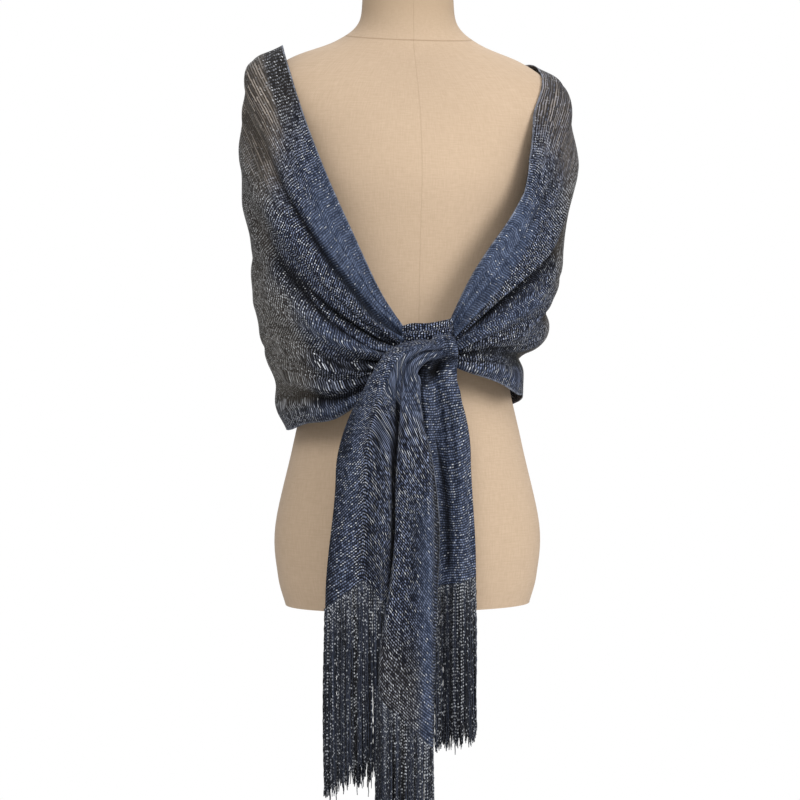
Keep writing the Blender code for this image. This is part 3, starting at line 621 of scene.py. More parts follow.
# finer creases: section and share of the width where each starts, bends and stops, its own width
# and height
wrapCreases = {
    "leftBandPleat": (0, .17, 1, .12, 2.6, .09, .018, -.0022),
    "leftBandFoot": (0, .34, 1.4, .235, 4.2, .165, .016, -.003),
    "leftSilverLine": (0, .41, 1.4, .285, 4.6, .2, .018, .004),
    "leftRidgeFoot": (0, .455, 1.3, .35, 3.4, .29, .018, -.003),
    "leftShortCrease": (0, .5, 1.2, .43, 2.6, .425, .015, -.0062),
    "leftShortRoll": (0, .54, 1.4, .47, 2.8, .455, .018, .003),
    "leftLongCrease": (0, .64, 1.5, .525, 3.5, .44, .016, -.0075),
    "leftPuffTop": (0, .72, 1.5, .58, 3.2, .5, .03, .0036),
    "leftPuffNick": (0, .78, 1.3, .67, 2.6, .6, .014, -.0026),
    "leftFanOne": (.2, .84, 1.4, .755, 3, .64, .015, -.0032),
    "leftFanTwo": (.4, .88, 1.5, .815, 3.2, .76, .014, -.0022),
    "leftSpeckledRidge": (.4, .905, 1.6, .845, 4, .85, .02, .003),
    "leftHemFoot": (0, .95, 2.2, .905, 5, .915, .014, -.0055),
    "leftSideDrag": (3, .5, 4.4, .56, 6.2, .6, .034, -.005),
    "leftShoulderDip": (3.4, .2, 5, .245, 6.4, .3, .05, -.0045),
    "leftSideSwell": (3.2, .32, 4.8, .375, 6.4, .42, .044, .0026),
    "leftLowSwell": (3.4, .66, 5, .68, 6.4, .7, .03, .0028),
    "leftSideNick": (3.4, .74, 4.4, .79, 6.4, .8, .016, -.0036),
    "leftShoulderLine": (3.6, .1, 5, .085, 7, .08, .012, -.0014),
    "rightBandPleat": (13, .1, 14.8, .13, 16, .17, .018, -.0014),
    "rightBandFoot": (12.2, .17, 14.2, .235, 16, .32, .016, -.0016),
    "rightSilverLine": (12, .2, 14.1, .285, 16, .38, .02, .0034),
    "rightRidgeFoot": (12.6, .3, 14.4, .35, 16, .42, .015, -.0028),
    "rightJointRoll": (12.4, .4, 14.2, .405, 16, .47, .02, .004),
    "rightLongCrease": (12.2, .445, 14.2, .455, 16, .52, .015, -.0068),
    "rightFanOne": (12.8, .53, 14.4, .53, 16, .57, .014, -.003),
    "rightFlow": (12.6, .57, 14.3, .59, 16, .62, .024, .0036),
    "rightFanTwo": (12.4, .66, 14.3, .65, 16, .67, .015, -.004),
    "rightFanThree": (13.2, .72, 14.6, .715, 16, .73, .014, .003),
    "rightFanFour": (12.6, .8, 14.5, .775, 16, .79, .015, -.0042),
    "rightHemFoot": (11, .89, 14, .885, 16, .9, .016, -.0036),
    "rightSideDrag": (10.4, .66, 12, .6, 13.4, .56, .02, -.003),
    "rightTuck": (10.4, .905, 12.2, .875, 14, .84, .016, -.0036),
    "rightSideStep": (9.8, .735, 11.4, .735, 13.2, .69, .018, -.006),
    "rightShoulderLine": (9.4, .08, 11, .085, 12.6, .1, .012, -.0014),
    "backDragOne": (5.6, .07, 7.4, .25, 9, .3, .02, -.0032),
    "backDragTwo": (7.2, .4, 8.8, .33, 10.6, .12, .022, -.0034),
    "backDragThree": (6, .5, 7.6, .62, 9, .64, .018, -.003),
    "backDragFour": (8.2, .78, 9.4, .7, 10.8, .56, .02, -.0028),
    "backRidge": (6, .3, 7.8, .42, 9.4, .45, .024, .0026),
    "backHemNick": (7, .93, 8.4, .9, 9.6, .94, .016, -.003),
}
wrapShape = {
    "stepsAlong": 320, "stepsAcross": 152, "wall": 0.0008, "clear": 0.0020, "foldFade": 0.8,
    "gatherReach": 2.9,      # sections that the pleats run out from the knot
    "gatherDepth": 0.0020, "gatherPleats": 11, "wrinkleDepth": 0.0008, "wrinkles": 9,
    # where the upper edge stands above (minus) or below the line that the shares are counted from
    "edgeSections": (0, 1, 2, 3, 4, 5, 12.3, 13, 13.4, 13.8, 14.4, 15, 16),
    "edgeShares": (0, -0.12, -0.14, -0.10, -0.04, 0, 0, 0.020, 0.062, 0.045, 0.015, 0, 0),
}
# zone round the body: the angle where it starts, how long it eases in, where it stops, how long
# it eases out
wrapZones = {
    "leftSide": (52, 16, 140, 38), "rightSide": (220, 38, 308, 16), "back": (118, 20, 242, 20),
    "leftLow": (40, 16, 140, 38), "leftTop": (80, 16, 140, 20), "rightTop": (220, 20, 280, 16),
}
wrapTones = {
    "sideStretch": 0.32,     # how far the rows are drawn apart over the shoulders
    # the dense bands along the front edges: their width and strength from section to section
    "bandSections": (0, 1.4, 4, 12, 14, 15.5, 16), "bandWidths": (0.38, 0.27, 0.19, 0.19, 0.31, 0.41, 0.44),
    "denseSections": (0, 2.0, 3.0, 4.4, 12.0, 13.2, 16), "denseShares": (1, 0.95, 0.65, 0.4, 0.45, 0.9, 1),
    "blueFold": 0.45,
    # how open the cloth is
    "openLeast": 0.06, "openSides": 0.68, "openBack": 0.24, "openLowFront": 0.16, "openLowLeft": 0.12,
    "tautLeft": 0.20, "tautRight": -0.06, "doubleDense": 0.45, "topDense": 0.12,
    # how much silver shows, and how dark the cloth is painted: by relief, as painted light with more silver
    # on a fold that stands out and painted shade in its trough, along the bands, and over the sides
    "reliefDepth": 0.0065, "creaseSilver": 1.4, "lineSilver": 0.6, "doubleSilver": -0.7,
    "leftSilver": 0.45, "rightSilver": -0.2, "bandRight": 0.35, "bandLeft": -0.2, "lowSilver": -0.35,
}


def riseAndFall(sections, start, stop, fade):
    rise = np.ones_like(sections)
    if start > 0:
        rise = rise * smooth((sections - start) / fade)
    if stop < len(wrapSections) - 1:
        rise = rise * smooth((stop - sections) / fade)
    return rise


def foldHeights(sections, across, fade):
    total = np.zeros_like(across)
    for start, stop, *ends in wrapFolds.values():
        share = np.clip((sections - start) / (stop - start), 0, 1)
        centre, width, height = (
            first + share * (last - first) for first, last in zip(ends[::2], ends[1::2]))
        height = height * riseAndFall(sections, start, stop, fade)
        total += height[:, None] * hump(across, centre[:, None], width[:, None])
    return total


def creaseHeights(sections, across, fade):
    # sharper at the foot than a fold
    total = np.zeros_like(across)
    for start, first, bend, second, stop, third, width, height in wrapCreases.values():
        centre = np.interp(sections, (start, bend, stop), (first, second, third))
        rise = height * riseAndFall(sections, start, stop, fade) * ((sections >= start) & (sections <= stop))
        away = np.abs(across - centre[:, None]) / width
        total += rise[:, None] * np.exp(-away ** 1.4)
    return total


def gatherHeights(sections, across, shape):
    # small pleats that fan out from the knot on both sides and die away, and faint wrinkles
    along = sections[:, None]
    pleats = 0
    for seed, away in ((11, along), (23, len(wrapSections) - 1 - along)):
        field = softWaves(along, across, seed, 0.35, 2 * math.pi * shape["gatherPleats"])
        pleats = pleats + np.tanh(1.2 * field) * np.exp(-(away / shape["gatherReach"]) ** 1.5)
    faint = softWaves(along, across, 37, 1.6, 2 * math.pi * shape["wrinkles"], 20)
    return shape["gatherDepth"] * pleats + shape["wrinkleDepth"] * faint


def wrapMarks(turn, share, sections, relief, widthwise, tones):
    # what the knit's material reads: open and see-through over the shoulders, denser in the bands along the
    # front edges, and painted light from the relief: more silver where a fold stands out, and painted shade,
    # darker yarn, in the troughs
    zones = {name: within(turn, *zone) for name, zone in wrapZones.items()}
    leftSide = zones["leftSide"]
    side = np.maximum(leftSide, zones["rightSide"])
    bandEdge = np.interp(sections, tones["bandSections"], tones["bandWidths"])[:, None]
    dense = np.interp(sections, tones["denseSections"], tones["denseShares"])[:, None]
    fronts = np.maximum(smooth((58 - turn) / 14), smooth((turn - 302) / 14))
    band = fronts * smooth((bandEdge - share) / 0.045) * dense
    lowFront = fronts * within(share, 0.62, 0.08, 0.92, 0.04)
    blueFold = tones["blueFold"] * fronts * (hump(share, 0.56, 0.06) + hump(share, 0.96, 0.04))
    silverLine = fronts * hump(share, bandEdge + 0.02, 0.025)
    # the left side's upper edge is folded over on itself, so it is dense there
    double = leftSide * smooth((0.055 - share) / 0.015)
    # the open cloth reaches further to the front low down on the left, and is closer at the hem
    lowSide = zones["leftLow"] * smooth((share - 0.35) / 0.25)
    hemShare = 0.4 + 0.6 * smooth((0.98 - share) / 0.09)
    # pulled tight over the shoulders, less so on their very tops
    taut = side * smooth((0.33 - share) / 0.12)
    overTop = smooth((0.24 - share) / 0.16) * (zones["leftTop"] + zones["rightTop"])
    opened = tones["openSides"] * np.maximum(side, lowSide)
    opened = opened + np.where(turn < 180, tones["tautLeft"], tones["tautRight"]) * taut
    opened = opened * hemShare * (1 - tones["doubleDense"] * double) * (1 - tones["topDense"] * overTop)
    sheer = (tones["openLeast"] + opened + tones["openBack"] * zones["back"]
             + tones["openLowFront"] * lowFront
             + tones["openLowLeft"] * leftSide * smooth((share - 0.5) / 0.15) * hemShare)
    # painted light: the relief adds silver on a raised fold and paints shade into a trough; the other terms
    # set the silver by band and zone
    silverAndPaintedLight = (relief / tones["reliefDepth"] * (1 - 0.5 * taut) + tones["lineSilver"] * silverLine
              + tones["doubleSilver"] * double + tones["leftSilver"] * leftSide * (1 - taut)
              + tones["rightSilver"] * (side - leftSide)
              + np.where(turn > 180, tones["bandRight"], tones["bandLeft"]) * band
              + tones["lowSilver"] * lowSide * smooth((share - 0.72) / 0.10))
    marks = {
        "sheer": np.clip(sheer, 0, 1),
        "pull": taut * (1 - double) * (1 - 0.8 * overTop),
        "band": np.clip(band + blueFold, 0, 1),
        "silverAndPaintedLight": np.clip(silverAndPaintedLight, -1.0, 0.75),
        "rim": np.minimum(widthwise, widthwise[:, -1:] - widthwise),
    }
    return marks, side


def makeWrap(shape, tones):
    sections = np.linspace(0, len(wrapSections) - 1, shape["stepsAlong"] + 1)
    rows = splineRows(list(wrapSections.values()), sections)
    edge = np.interp(sections, shape["edgeSections"], shape["edgeShares"])
    lines = []
    for row, first in zip(rows, edge):
        down = evenPoints(row[1:].reshape(-1, 2), shape["stepsAcross"] + 1, max(first, 0.0))
        lines.append(roundAxis(row[0], down[:, 0], down[:, 1]))
    grid = np.array(lines)
    outward = np.cross(np.gradient(grid, axis=0), np.gradient(grid, axis=1))
    tangent = np.array([(-math.cos(spin), math.sin(spin), 0.0) for spin in np.radians(rows[:, 0])])
    outward -= np.sum(outward * tangent[:, None], axis=2, keepdims=True) * tangent[:, None]
    outward /= np.linalg.norm(outward, axis=2, keepdims=True)
    edge = edge[:, None]
    share = edge + (1 - edge) * np.linspace(0, 1, shape["stepsAcross"] + 1)
    folds = foldHeights(sections, share, shape["foldFade"])
    creases = creaseHeights(sections, share, shape["foldFade"])
    grid = grid + outward * (folds + creases + gatherHeights(sections, share, shape))[:, :, None]
    turn = rows[:, 0][:, None]
    widthwise = runLength(grid, 1)
    relief = folds + tones["creaseSilver"] * creases
    marks, side = wrapMarks(turn, share, sections, relief, widthwise, tones)

    # cloth lengths: measured from each end on its own front, and evened out round the back;
    # over the shoulders the rows are pulled apart
    lengthwise = runLength(grid, 0)
    mean = lengthwise.mean(axis=1, keepdims=True)
    fromLeft = lengthwise - mean
    fromRight = fromLeft - fromLeft[-1:]
    steps = np.diff(mean, axis=0, prepend=mean[:1]) * (1 - tones["sideStretch"] * side)
    along = np.cumsum(steps, axis=0) + fromLeft * smooth((168 - turn) / 115)
    along = along + fromRight * smooth((turn - 192) / 115)
    wrap = gridSheet("stoleWrap", grid, knit, np.stack((along, widthwise), axis=2), marks)
    rest = wrap.modifiers.new("restOnTheForm", "SHRINKWRAP")
    rest.target = form
    rest.wrap_mode = "OUTSIDE"
    rest.offset = shape["clear"]
    thinWall(wrap, shape["wall"], 1.0)
    return finishPiece(wrap, "metallic_knit", "wrap")


wrap = makeWrap(wrapShape, wrapTones)
print("stole round the body made")


# ring: angle round the axis, distance, height, half depth, half height
coreRings = {
    "leftEnd": (11, .125, 1.0585, .0078, .0252),
    "left": (6, .126, 1.0595, .016, .0265),
    "middle": (-1.5, .1265, 1.06, .0195, .0255),
    "right": (-10, .127, 1.0615, .018, .027),
    "rightEnd": (-15, .127, 1.0635, .0072, .0272),
}
# pleat: where it lies round the bundle in degrees (90 is the top), its width and height
corePleats = {
    "frontUnder": (-52, 9, .1), "frontLow": (-30, 8, -.16), "frontBelly": (-12, 10, .12),
    "frontCrease": (6, 7, -.2), "frontHigh": (24, 9, .12), "topCrease": (44, 7, -.14),
    "topRoll": (64, 10, .14), "topBack": (88, 8, -.12), "backRoll": (112, 12, .1),
    "backCrease": (150, 12, -.12), "backLow": (190, 14, .1), "underCrease": (235, 10, -.14),
    "underRoll": (262, 11, .1), "underNick": (285, 8, -.12),
}
coreShape = {
    "stepsBetween": 16, "pointsRound": 150,
    "twist": 5,              # degrees that the pleats turn from ring to ring
    # the hollow below the turn, pressed in and painted dark as its shadow: where it starts, its depth and
    # how it eases in
    "hollowFrom": -0.012, "hollowTop": 1.056, "hollowFade": 0.010, "hollowDepth": 0.010,
}


def makeCore(shape):
    rows = fineRows(coreRings, shape["stepsBetween"])
    places = np.linspace(0, len(coreRings) - 1, len(rows))
    turn = np.linspace(0, 2 * math.pi, shape["pointsRound"], endpoint=False)
    grid, shineAndHollowShade = [], []
    for place, (angle, radius, height, halfDepth, halfHeight) in zip(places, rows):
        swell = np.ones_like(turn)
        for at, width, rise in corePleats.values():
            away = (np.degrees(turn) - at - shape["twist"] * place + 180) % 360 - 180
            swell += rise * hump(away, 0, width)
        far = radius + halfDepth * np.cos(turn) * swell
        high = height + halfHeight * np.sin(turn) * (0.4 + 0.6 * swell)
        across = roundAxis(angle, far, high)[:, 0]
        hollow = (smooth((shape["hollowTop"] - high) / shape["hollowFade"])
                  * np.clip(np.cos(turn) * 1.6, 0, 1)
                  * smooth((across - shape["hollowFrom"]) / shape["hollowFade"]))
        # more silver on the top of the bundle, and painted shadow darkening the hollow below the turn
        shineAndHollowShade.append(0.3 + 0.7 * smooth((high - 1.070) / 0.008) - 1.6 * hollow)
        grid.append(roundAxis(angle, far - shape["hollowDepth"] * hollow, high))
    uv = np.stack((runLength(np.array(grid), 0), runLength(np.array(grid), 1)), axis=2).reshape(-1, 2)
    none, whole = np.zeros(len(uv)), np.ones(len(uv))
    marks = {"sheer": none, "pull": none, "band": none, "silverAndPaintedLight": np.concatenate(shineAndHollowShade), "rim": whole}
    core = ringSolid("stoleKnotCore", grid, knit, uv, marks)
    return finishPiece(core, "metallic_knit", "knot_core")


makeCore(coreShape)

# ring of the turn over the bundle: middle, half width, half depth
turnRings = {
    "root": (.024, -.136, 1.058, .008, .0045),
    "side": (.009, -.15, 1.056, .01, .008),
    "crest": (-.01, -.16, 1.053, .0135, .0115),
    "fall": (-.029, -.161, 1.04, .0215, .0122),
    "mouth": (-.037, -.158, 1.016, .03, .0122),
}
# fold line of an end: its place at the top, some way down (middleAt) and at the hem, the hem's height
frontTail = {
    "rightSelvage": (-.008, -.152, .015, -.148, .005, -.156, .613),
    "rightRidge": (-.008, -.164, .001, -.172, .001, -.172, .618),
    "rightPanel": (-.019, -.168, -.019, -.1665, -.026, -.169, .645),
    "deepValley": (-.031, -.167, -.036, -.154, -.057, -.164, .68),
    "hiddenReturn": (-.022, -.156, -.02, -.149, -.032, -.15, .715),
    "hiddenFold": (-.026, -.149, -.03, -.145, -.036, -.145, .735),
    "middleRidge": (-.042, -.16, -.0445, -.158, -.049, -.1575, .772),
    "middleValley": (-.052, -.164, -.0675, -.1545, -.071, -.154, .8),
    "leftPanel": (-.06, -.165, -.082, -.162, -.089, -.1615, .789),
    "leftFold": (-.069, -.157, -.101, -.15, -.114, -.149, .768),
    "leftReturn": (-.058, -.152, -.083, -.136, -.092, -.137, .772),
    "leftSelvage": (-.046, -.147, -.055, -.129, -.058, -.129, .77),
}
# the same fold lines where they go over the bundle: degrees round the turn's ring, share of its size
turnPleats = {
    "rightSelvage": (212, .8), "rightRidge": (176, 1), "rightPanel": (140, 1.03),
    "deepValley": (112, .72), "hiddenReturn": (116, .45), "hiddenFold": (92, .42),
    "middleRidge": (84, 1), "middleValley": (60, .8), "leftPanel": (34, 1.02),
    "leftFold": (0, 1), "leftReturn": (-36, .86), "leftSelvage": (-78, .72),
}
rearTail = {
    "leftSelvage": (-.014, -.133, -.01, -.126, -.01, -.124, .787),
    "leftFold": (-.003, -.142, .008, -.136, .008, -.135, .787),
    "valley": (.01, -.137, .022, -.125, .022, -.124, .79),
    "frontFold": (.023, -.146, .04, -.137, .042, -.136, .794),
    "rightFold": (.036, -.138, .055, -.124, .06, -.123, .801),
    "backFold": (.03, -.126, .042, -.113, .045, -.113, .806),
    "rightSelvage": (.018, -.12, .024, -.113, .024, -.113, .81),
}
# the rear end where it goes up over the bundle as a lobe beside the turn: middle, share of its
# width and of its depth that is left there
lobeRings = {
    "under": (.018, -.13, 1.029, .97, .8),
    "hollow": (.0215, -.134, 1.042, .76, .6),
    "belly": (.023, -.15, 1.056, .6, .62),
    "shoulder": (.023, -.148, 1.068, .52, .54),
    "tuck": (.025, -.137, 1.074, .38, .4),
}
endShape = {
    "middleAt": 0.42,        # share of the way down at which the middle places hold
    "stepsPerFold": 14, "stepsDown": 160, "turnSteps": 16, "lobeSteps": 40, "lobeBlend": 14,
    "wall": 0.0007, "topBlend": 0.17, "wrinkleDepth": 0.0006,
    # painted light: cloth in front of these planes is painted lighter, and behind them darker, over the fade
    "frontPlane": 0.158, "rearPlane": 0.127, "depthFade": 0.014,     # how far forward the cloth shines
    "creaseShade": 0.0042, "rowUneven": 0.0016,
    "frontStretch": 1.18, "rearStretch": 0.98,      # how far each end's weight has drawn its rows apart
    "unwindFrom": 0.25, "unwindShare": 0.6,         # over the bundle the rows lie less slantwise
    "lobeUnder": 1.0352, "lobeSlopeFrom": 0.022, "lobeSlope": 0.75,     # underside of the rear end's lobe
    "sheer": 0.06, "cornerSheer": 0.44, "rearBand": 0.50,
}
# creases pressed into the ends: fold line at its start and at its stop, how far down each starts
# and stops, width in fold lines, height
frontCreases = {
    "featherCrease": (7, 7, .06, .97, .07, -.0016),
    "featherRows": (7.45, 7.45, .08, .95, .34, .0018),
    "leftSwell": (8.3, 8.3, .1, .95, .5, .001),
    "panelEdge": (6.1, 6.1, .14, .8, .22, .002),
    "panelFold": (5.8, 5.5, .2, .9, .2, -.0014),
    "deepCrease": (3.1, 3.1, .15, .74, .12, -.003),
    "deepLip": (2.75, 2.75, .17, .8, .18, .0022),
    "panelSwell": (2.2, 2.2, .15, .8, .45, .0014),
    "panelHollow": (1.7, 2.1, .3, .95, .3, -.0014),
    "ridgeLine": (1.15, 1.15, .2, .98, .25, .0014),
    "kneeCrease": (8.8, 8.5, .02, .4, .26, -.0016),
    "shoulderCrease": (5.2, 4.9, 0, .22, .3, -.0022),
}
rearCreases = {
    "slantCrease": (.8, 2.3, .1, .97, .2, -.004),
    "slantLip": (1.2, 2.7, .14, .97, .26, .002),
    "frontLine": (3.3, 3.1, .06, .95, .3, .0016),
    "outerNick": (3.9, 4.2, .04, .8, .16, -.0018),
    "lobeNick": (2.6, 2.9, .02, .34, .16, -.0014),
}


def tailGrid(table, startHeight, stepsPerFold, stepsDown):
    fine = fineRows(table, stepsPerFold)
    top, middle, low, hem = fine[:, 0:2], fine[:, 2:4], fine[:, 4:6], fine[:, 6]
    start = startHeight(top)
    middleAt = endShape["middleAt"]
    grid = []
    for share in np.linspace(0, 1, stepsDown + 1):
        if share < middleAt:
            flat = top + (middle - top) * math.sin(share / middleAt * math.pi / 2) ** 1.15
        else:
            flat = middle + (low - middle) * smooth((share - middleAt) / (1 - middleAt))
        grid.append(np.column_stack((flat, start + (hem - start) * share)))
    return np.array(grid)


def turnGrid(steps, stepsPerFold):
    rows = fineRows(turnRings, steps)
    pleats = fineRows(turnPleats, stepsPerFold)
    spin, size = np.radians(pleats[:, 0]), pleats[:, 1]
    lines = []
    for row, run in zip(rows, np.gradient(rows[:, :3], axis=0)):
        wide = np.cross(run, (0.0, -1.0, 0.0))
        wide /= np.linalg.norm(wide)
        deep = np.cross(wide, run)
        deep /= np.linalg.norm(deep)
        lines.append(row[:3] + np.outer(row[3] * np.cos(spin) * size, wide)
                     + np.outer(row[4] * np.sin(spin) * size, deep))
    return np.array(lines)


def frontTop(points):
    # the front end starts on the slanting mouth of the turn
    last = len(turnRings) - 1
    before, mouth = splineRows(list(turnRings.values()), (last - 0.25, last))[:, :3]
    run = mouth - before
    return mouth[2] - ((points - mouth[:2]) @ run[:2]) / run[2]


def rearTop(points):
    # the rear end starts under its lobe, lower towards the right
    beyond = np.maximum(points[:, 0] - endShape["lobeSlopeFrom"], 0.0)
    return endShape["lobeUnder"] - endShape["lobeSlope"] * beyond


def pressCreases(grid, creases, depth, seed, stations):
    # creases and faint wrinkles down a hanging end, none of them on the part above it
    normal = np.cross(np.gradient(grid, axis=0), np.gradient(grid, axis=1))
    normal /= np.maximum(np.linalg.norm(normal, axis=2, keepdims=True), 1e-9)
    normal *= -np.sign(normal[:, :, 1:2].mean())
    down = np.clip((np.arange(grid.shape[0]) - (grid.shape[0] - stations)) / stations, 0, 1)[:, None]
    over = np.linspace(0, 1, grid.shape[1])[None, :]
    line = np.arange(grid.shape[1])[None, :] / endShape["stepsPerFold"]
    faint = depth * np.minimum(1.0, 0.3 + 4 * down) * softWaves(down, over, seed, 5.0, 2 * math.pi * 16, 20)
    press = 0 * faint
    for first, last, start, stop, width, height in creases.values():
        rise = smooth((down - start) / 0.10) * smooth((stop - down) / 0.08)
        at = last - (last - first) * (1 - np.clip((down - start) / (stop - start), 0, 1)) ** 3
        press = press + height * rise * np.exp(-(np.abs(line - at) / width) ** 1.5)
    # the crease heights come back as painted light too: lighter on a ridge, painted shade in a crease
    return grid + normal * (press + faint)[:, :, None], press / endShape["creaseShade"], down, line


def endSheet(name, grid, stations, stretch, silverAndPaintedLight, band, sheer, nodes):
    # lengths from the hem, the same all the way across where the rows begin to slant less
    lengthwise = runLength(grid[::-1], 0)[::-1]
    level = len(grid) - stations + int(endShape["unwindFrom"] * stations)
    mean = lengthwise.mean(axis=1, keepdims=True)
    above = np.clip((mean - mean[level]) / (mean[0] - mean[level]), 0, 1)
    lengthwise = lengthwise - endShape["unwindShare"] * above * (lengthwise[level] - mean[level])
    widthwise = runLength(grid, 1)
    # the rows are a little uneven, as the weight of the fringe pulls at them
    share = np.linspace(0, 1, len(grid))[:, None]
    over = np.linspace(0, 1, grid.shape[1])[None, :]
    uneven = endShape["rowUneven"] * softWaves(share, over, 83, 7.0, 2 * math.pi * 2.5)
    uv = np.stack((lengthwise / stretch + uneven, widthwise + 3.0), axis=2)
    rim = np.minimum(widthwise, widthwise[:, -1:] - widthwise)
    marks = {"sheer": sheer + 0 * rim, "pull": 0 * rim, "band": band + 0 * rim,
             "silverAndPaintedLight": np.clip(silverAndPaintedLight, -1.2, 1.0), "rim": rim}
    marks = {key: value.T for key, value in marks.items()}
    sheet = gridSheet(name, grid.transpose(1, 0, 2), knit, uv.transpose(1, 0, 2), marks)
    thinWall(sheet, endShape["wall"], 0.0)
    return finishPiece(sheet, "metallic_knit", *nodes)


def makeFrontEnd(shape):
    over = turnGrid(shape["turnSteps"], shape["stepsPerFold"])
    down = tailGrid(frontTail, frontTop, shape["stepsPerFold"], shape["stepsDown"])
    share = np.linspace(0, 1, len(down))[:, None, None]
    down = down + (over[-1] - down[0]) * (1 - smooth(share / shape["topBlend"]))
    grid = np.concatenate((over[:-1], down))
    grid, crease, fall, line = pressCreases(grid, frontCreases, shape["wrinkleDepth"], 51, len(down))
    # painted light: cloth further forward is lighter and cloth further back painted darker, the turn over
    # the bundle is painted lightest, and the creases add painted light and shade
    silverAndPaintedLight = np.clip((-grid[:, :, 1] - shape["frontPlane"]) / shape["depthFade"], -0.4, 0.35)
    silverAndPaintedLight[:len(over) - 1] = 1.0
    # a row of bright stitches along the feathered crease, and duller cloth beside it
    dots = 1.1 * hump(line, 7.12, 0.13) + 0.45 * hump(line, 7.45, 0.28)
    dots = dots * smooth(fall / 0.1) * smooth((0.98 - fall) / 0.05)
    dull = 0.40 * smooth((line - 7.7) / 0.3) + 0.62 * smooth((3.2 - line) / 0.4)
    dull = smooth((fall - 0.1) / 0.2) * (dull + 0.35 * within(line, 3.4, 0.3, 6.9, 0.3))
    # dense along the long ridge, in the outer panel and right under the knot
    ridge = 0.70 * hump(line, 1.2, 0.55) * smooth((fall - 0.2) / 0.2) + 0.30 * smooth((line - 7.6) / 0.3)
    ridge = ridge + 0.46 * smooth((0.12 - fall) / 0.08) * (line < 7.6)
    # the corner hangs single, open and greyer
    corner = smooth((fall - 0.66) / 0.20) * within(line, 1.3, 0.4, 3.6, 0.6)
    return endSheet("stoleFrontEnd", grid, len(down), shape["frontStretch"], silverAndPaintedLight + crease + dots - dull,
                    ridge, shape["sheer"] + shape["cornerSheer"] * corner, ("knot_turn", "tail_front"))


def makeRearEnd(shape):
    down = tailGrid(rearTail, rearTop, shape["stepsPerFold"], shape["stepsDown"])
    spread = down[0] - down[0].mean(axis=0)
    rings = splineRows(list(lobeRings.values()), np.linspace(len(lobeRings) - 1, 0, shape["lobeSteps"]))
    above = np.array([row[:3] + spread * (row[3], row[4], row[3]) for row in rings])
    # ease the lobe's foot into the top of the hanging part
    count = shape["lobeBlend"]
    blend = smooth(np.linspace(0, 1, count))[:, None, None]
    bridge = above[-1] + (down[count - 1] - above[-1]) * blend
    down = np.concatenate((bridge[1:], down[count:]))
    grid = np.concatenate((above, down))
    grid, crease, _, _ = pressCreases(grid, rearCreases, shape["wrinkleDepth"], 67, len(down))
    # painted shadow in the hollow under the turn, its lower edge slanting down to the left
    height = grid[:, :, 2]
    hollow = smooth((height - grid[:, :, 0] - 0.998) / 0.020) * smooth((1.056 - height) / 0.008)
    # painted light: cloth further forward is lighter and further back darker, the creases add painted light
    # and shade, and the whole end is lifted a little
    silverAndPaintedLight = np.clip((-grid[:, :, 1] - shape["rearPlane"]) / shape["depthFade"], -0.4, 0.8)
    silverAndPaintedLight = silverAndPaintedLight + 1.3 * crease - 1.9 * hollow + 0.40
    return endSheet("stoleRearEnd", grid, len(down), shape["rearStretch"], silverAndPaintedLight,
                    shape["rearBand"], shape["sheer"], ("tail_rear",))


frontEnd = makeFrontEnd(endShape)
rearEnd = makeRearEnd(endShape)
print("knot and ends made")


fringeShape = {
    "strandRadius": 0.00074, "sides": 4, "steps": 38, "hemSteps": 24,
    "inset": 0.0006, "stray": 0.0005,       # from the hem's ends, and off an even spacing
    "uneven": 0.028, "sway": 0.0016, "bend": 0.0010,
    "crinkle": (0.00022, 0.00042), "pitch": (0.011, 0.017), "plyPitch": 0.0052,
    "front": {"strands": 440, "length": 0.203, "seed": 5},
    "rear": {"strands": 290, "length": 0.180, "seed": 9},
}


def makeFringe(name, table, startHeight, settings, node, shape):
    rng = np.random.default_rng(settings["seed"])
    hem = tailGrid(table, startHeight, shape["hemSteps"], 1)[-1]
    count, sides, steps = settings["strands"], shape["sides"], shape["steps"]
    at = np.linspace(shape["inset"], runLength(hem, 0)[-1] - shape["inset"], count)
    at = at + rng.uniform(-shape["stray"], shape["stray"], count)
    root = pointsAt(hem, at)
    length = settings["length"] * (1 + rng.normal(0, shape["uneven"], count))
    down = np.linspace(0, 1, steps + 1)
    turn = np.linspace(0, 2 * math.pi, sides, endpoint=False)
    ring = np.stack((np.cos(turn), np.sin(turn), 0 * turn), axis=1)
    strandFaces = gridFaces(steps + 1, sides, True)
    strandFaces += [tuple(range(sides)), tuple(steps * sides + j for j in reversed(range(sides)))]
    points, uv, faces = [], [], []
    for strand in range(count):
        sway = rng.normal(0, shape["sway"], 2)
        bend = rng.normal(0, shape["bend"], 2)
        crinkle = rng.uniform(*shape["crinkle"])
        pitch = rng.uniform(*shape["pitch"])
        phase = rng.uniform(0, 2 * math.pi)
        run = down * length[strand]
        curl = 2 * math.pi * run / pitch + phase
        path = np.zeros((steps + 1, 3))
        for axis, swing in enumerate((np.cos(curl), np.sin(curl))):
            drift = root[strand, axis] + sway[axis] * down ** 1.5 + bend[axis] * np.sin(math.pi * down)
            path[:, axis] = drift + crinkle * swing
        path[:, 2] = root[strand, 2] + shape["inset"] - run
        ply = 1 + 0.16 * np.sin(2 * math.pi * run / shape["plyPitch"] + phase)
        size = shape["strandRadius"] * rng.uniform(0.85, 1.15) * ply
        size *= 1 - 0.45 * smooth((down - 0.94) / 0.06)
        points.append((path[:, None] + size[:, None, None] * ring).reshape(-1, 3))
        uv.append(np.stack((np.repeat(run, sides), np.full((steps + 1) * sides, strand + 0.5)), axis=1))
        first = strand * (steps + 1) * sides
        faces += [tuple(first + corner for corner in face) for face in strandFaces]
    fringe = meshObject(name, np.concatenate(points), faces, fringeYarn, np.concatenate(uv))
    return finishPiece(fringe, "fringe_yarn", node)


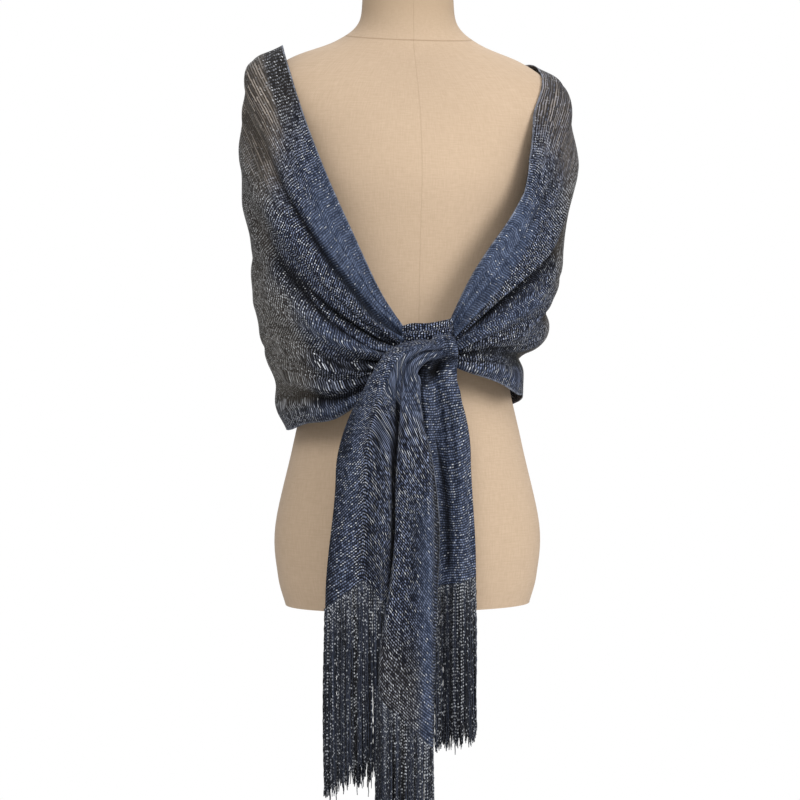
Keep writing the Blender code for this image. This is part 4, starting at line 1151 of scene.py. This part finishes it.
frontFringe, rearFringe = (
    makeFringe(name, table, startHeight, fringeShape[end], node, fringeShape)
    for name, table, startHeight, end, node in (
        ("stoleFrontFringe", frontTail, frontTop, "front", "fringe_front"),
        ("stoleRearFringe", rearTail, rearTop, "rear", "fringe_rear")))
print("fringes made")


studio = {
    "azimuth": -8.0, "distance": 1.9, "height": 1.0, "lens": 70.65, "sensor": 36, "shiftX": -0.01,
    "floorHalf": 1.85, "floorBelow": 0.0005, "floor": "#efeeec", "surround": 0.42, "aim": (0, 0, 1.1),
    # lamp: place, width and power
    "key": ((-0.7, -2.6, 2.7), 1.5, 44), "fill": ((1.7, -1.9, 1.7), 1.6, 38),
    "top": ((0.2, 0.9, 2.9), 1.4, 16),
}


def areaLight(name, aim, place, size, power):
    light = bpy.data.lights.new(name, "AREA")
    light.shape = "DISK"
    light.size = size
    light.energy = power
    lamp = linked(name, light)
    lamp.location = place
    lamp.rotation_euler = (Vector(place) - Vector(aim)).to_track_quat("Z", "Y").to_euler()


def makeStudio(settings):
    scene = bpy.context.scene
    world = bpy.data.worlds.new("whiteSweep")
    scene.world = world
    world.use_nodes = True
    world.node_tree.nodes.clear()
    add = partial(addNode, world.node_tree)
    # a white sweep behind, which gives less light than it shows
    seen = add("LightPath").outputs["Is Camera Ray"]
    strength = add("MapRange", seen, 0.0, 1.0, settings["surround"], 1.0)
    add("OutputWorld", add("Background", "#ffffff", strength))
    half = settings["floorHalf"]
    floorMaterial, add = newMaterial("paleFloor")
    add("OutputMaterial", add("BsdfPrincipled", {"Base Color": settings["floor"], "Roughness": 0.7}))
    floor = meshObject("floor", [(-half, -half, 0), (half, -half, 0), (half, half, 0), (-half, half, 0)],
                       [(0, 1, 2, 3)], floorMaterial)
    floor.location.z = -settings["floorBelow"]
    for name in ("key", "fill", "top"):
        areaLight(name + "Light", settings["aim"], *settings[name])
    turn = math.radians(settings["azimuth"])
    camera = linked("camera", bpy.data.cameras.new("camera"))
    camera.location = (math.sin(turn) * settings["distance"], -math.cos(turn) * settings["distance"],
                       settings["height"])
    camera.rotation_euler = (math.radians(90), 0, turn)
    camera.data.sensor_width = settings["sensor"]
    camera.data.lens = settings["lens"]
    camera.data.shift_x = settings["shiftX"]
    scene.camera = camera
    scene.view_settings.view_transform = "Standard"


makeStudio(studio)
print("studio made")
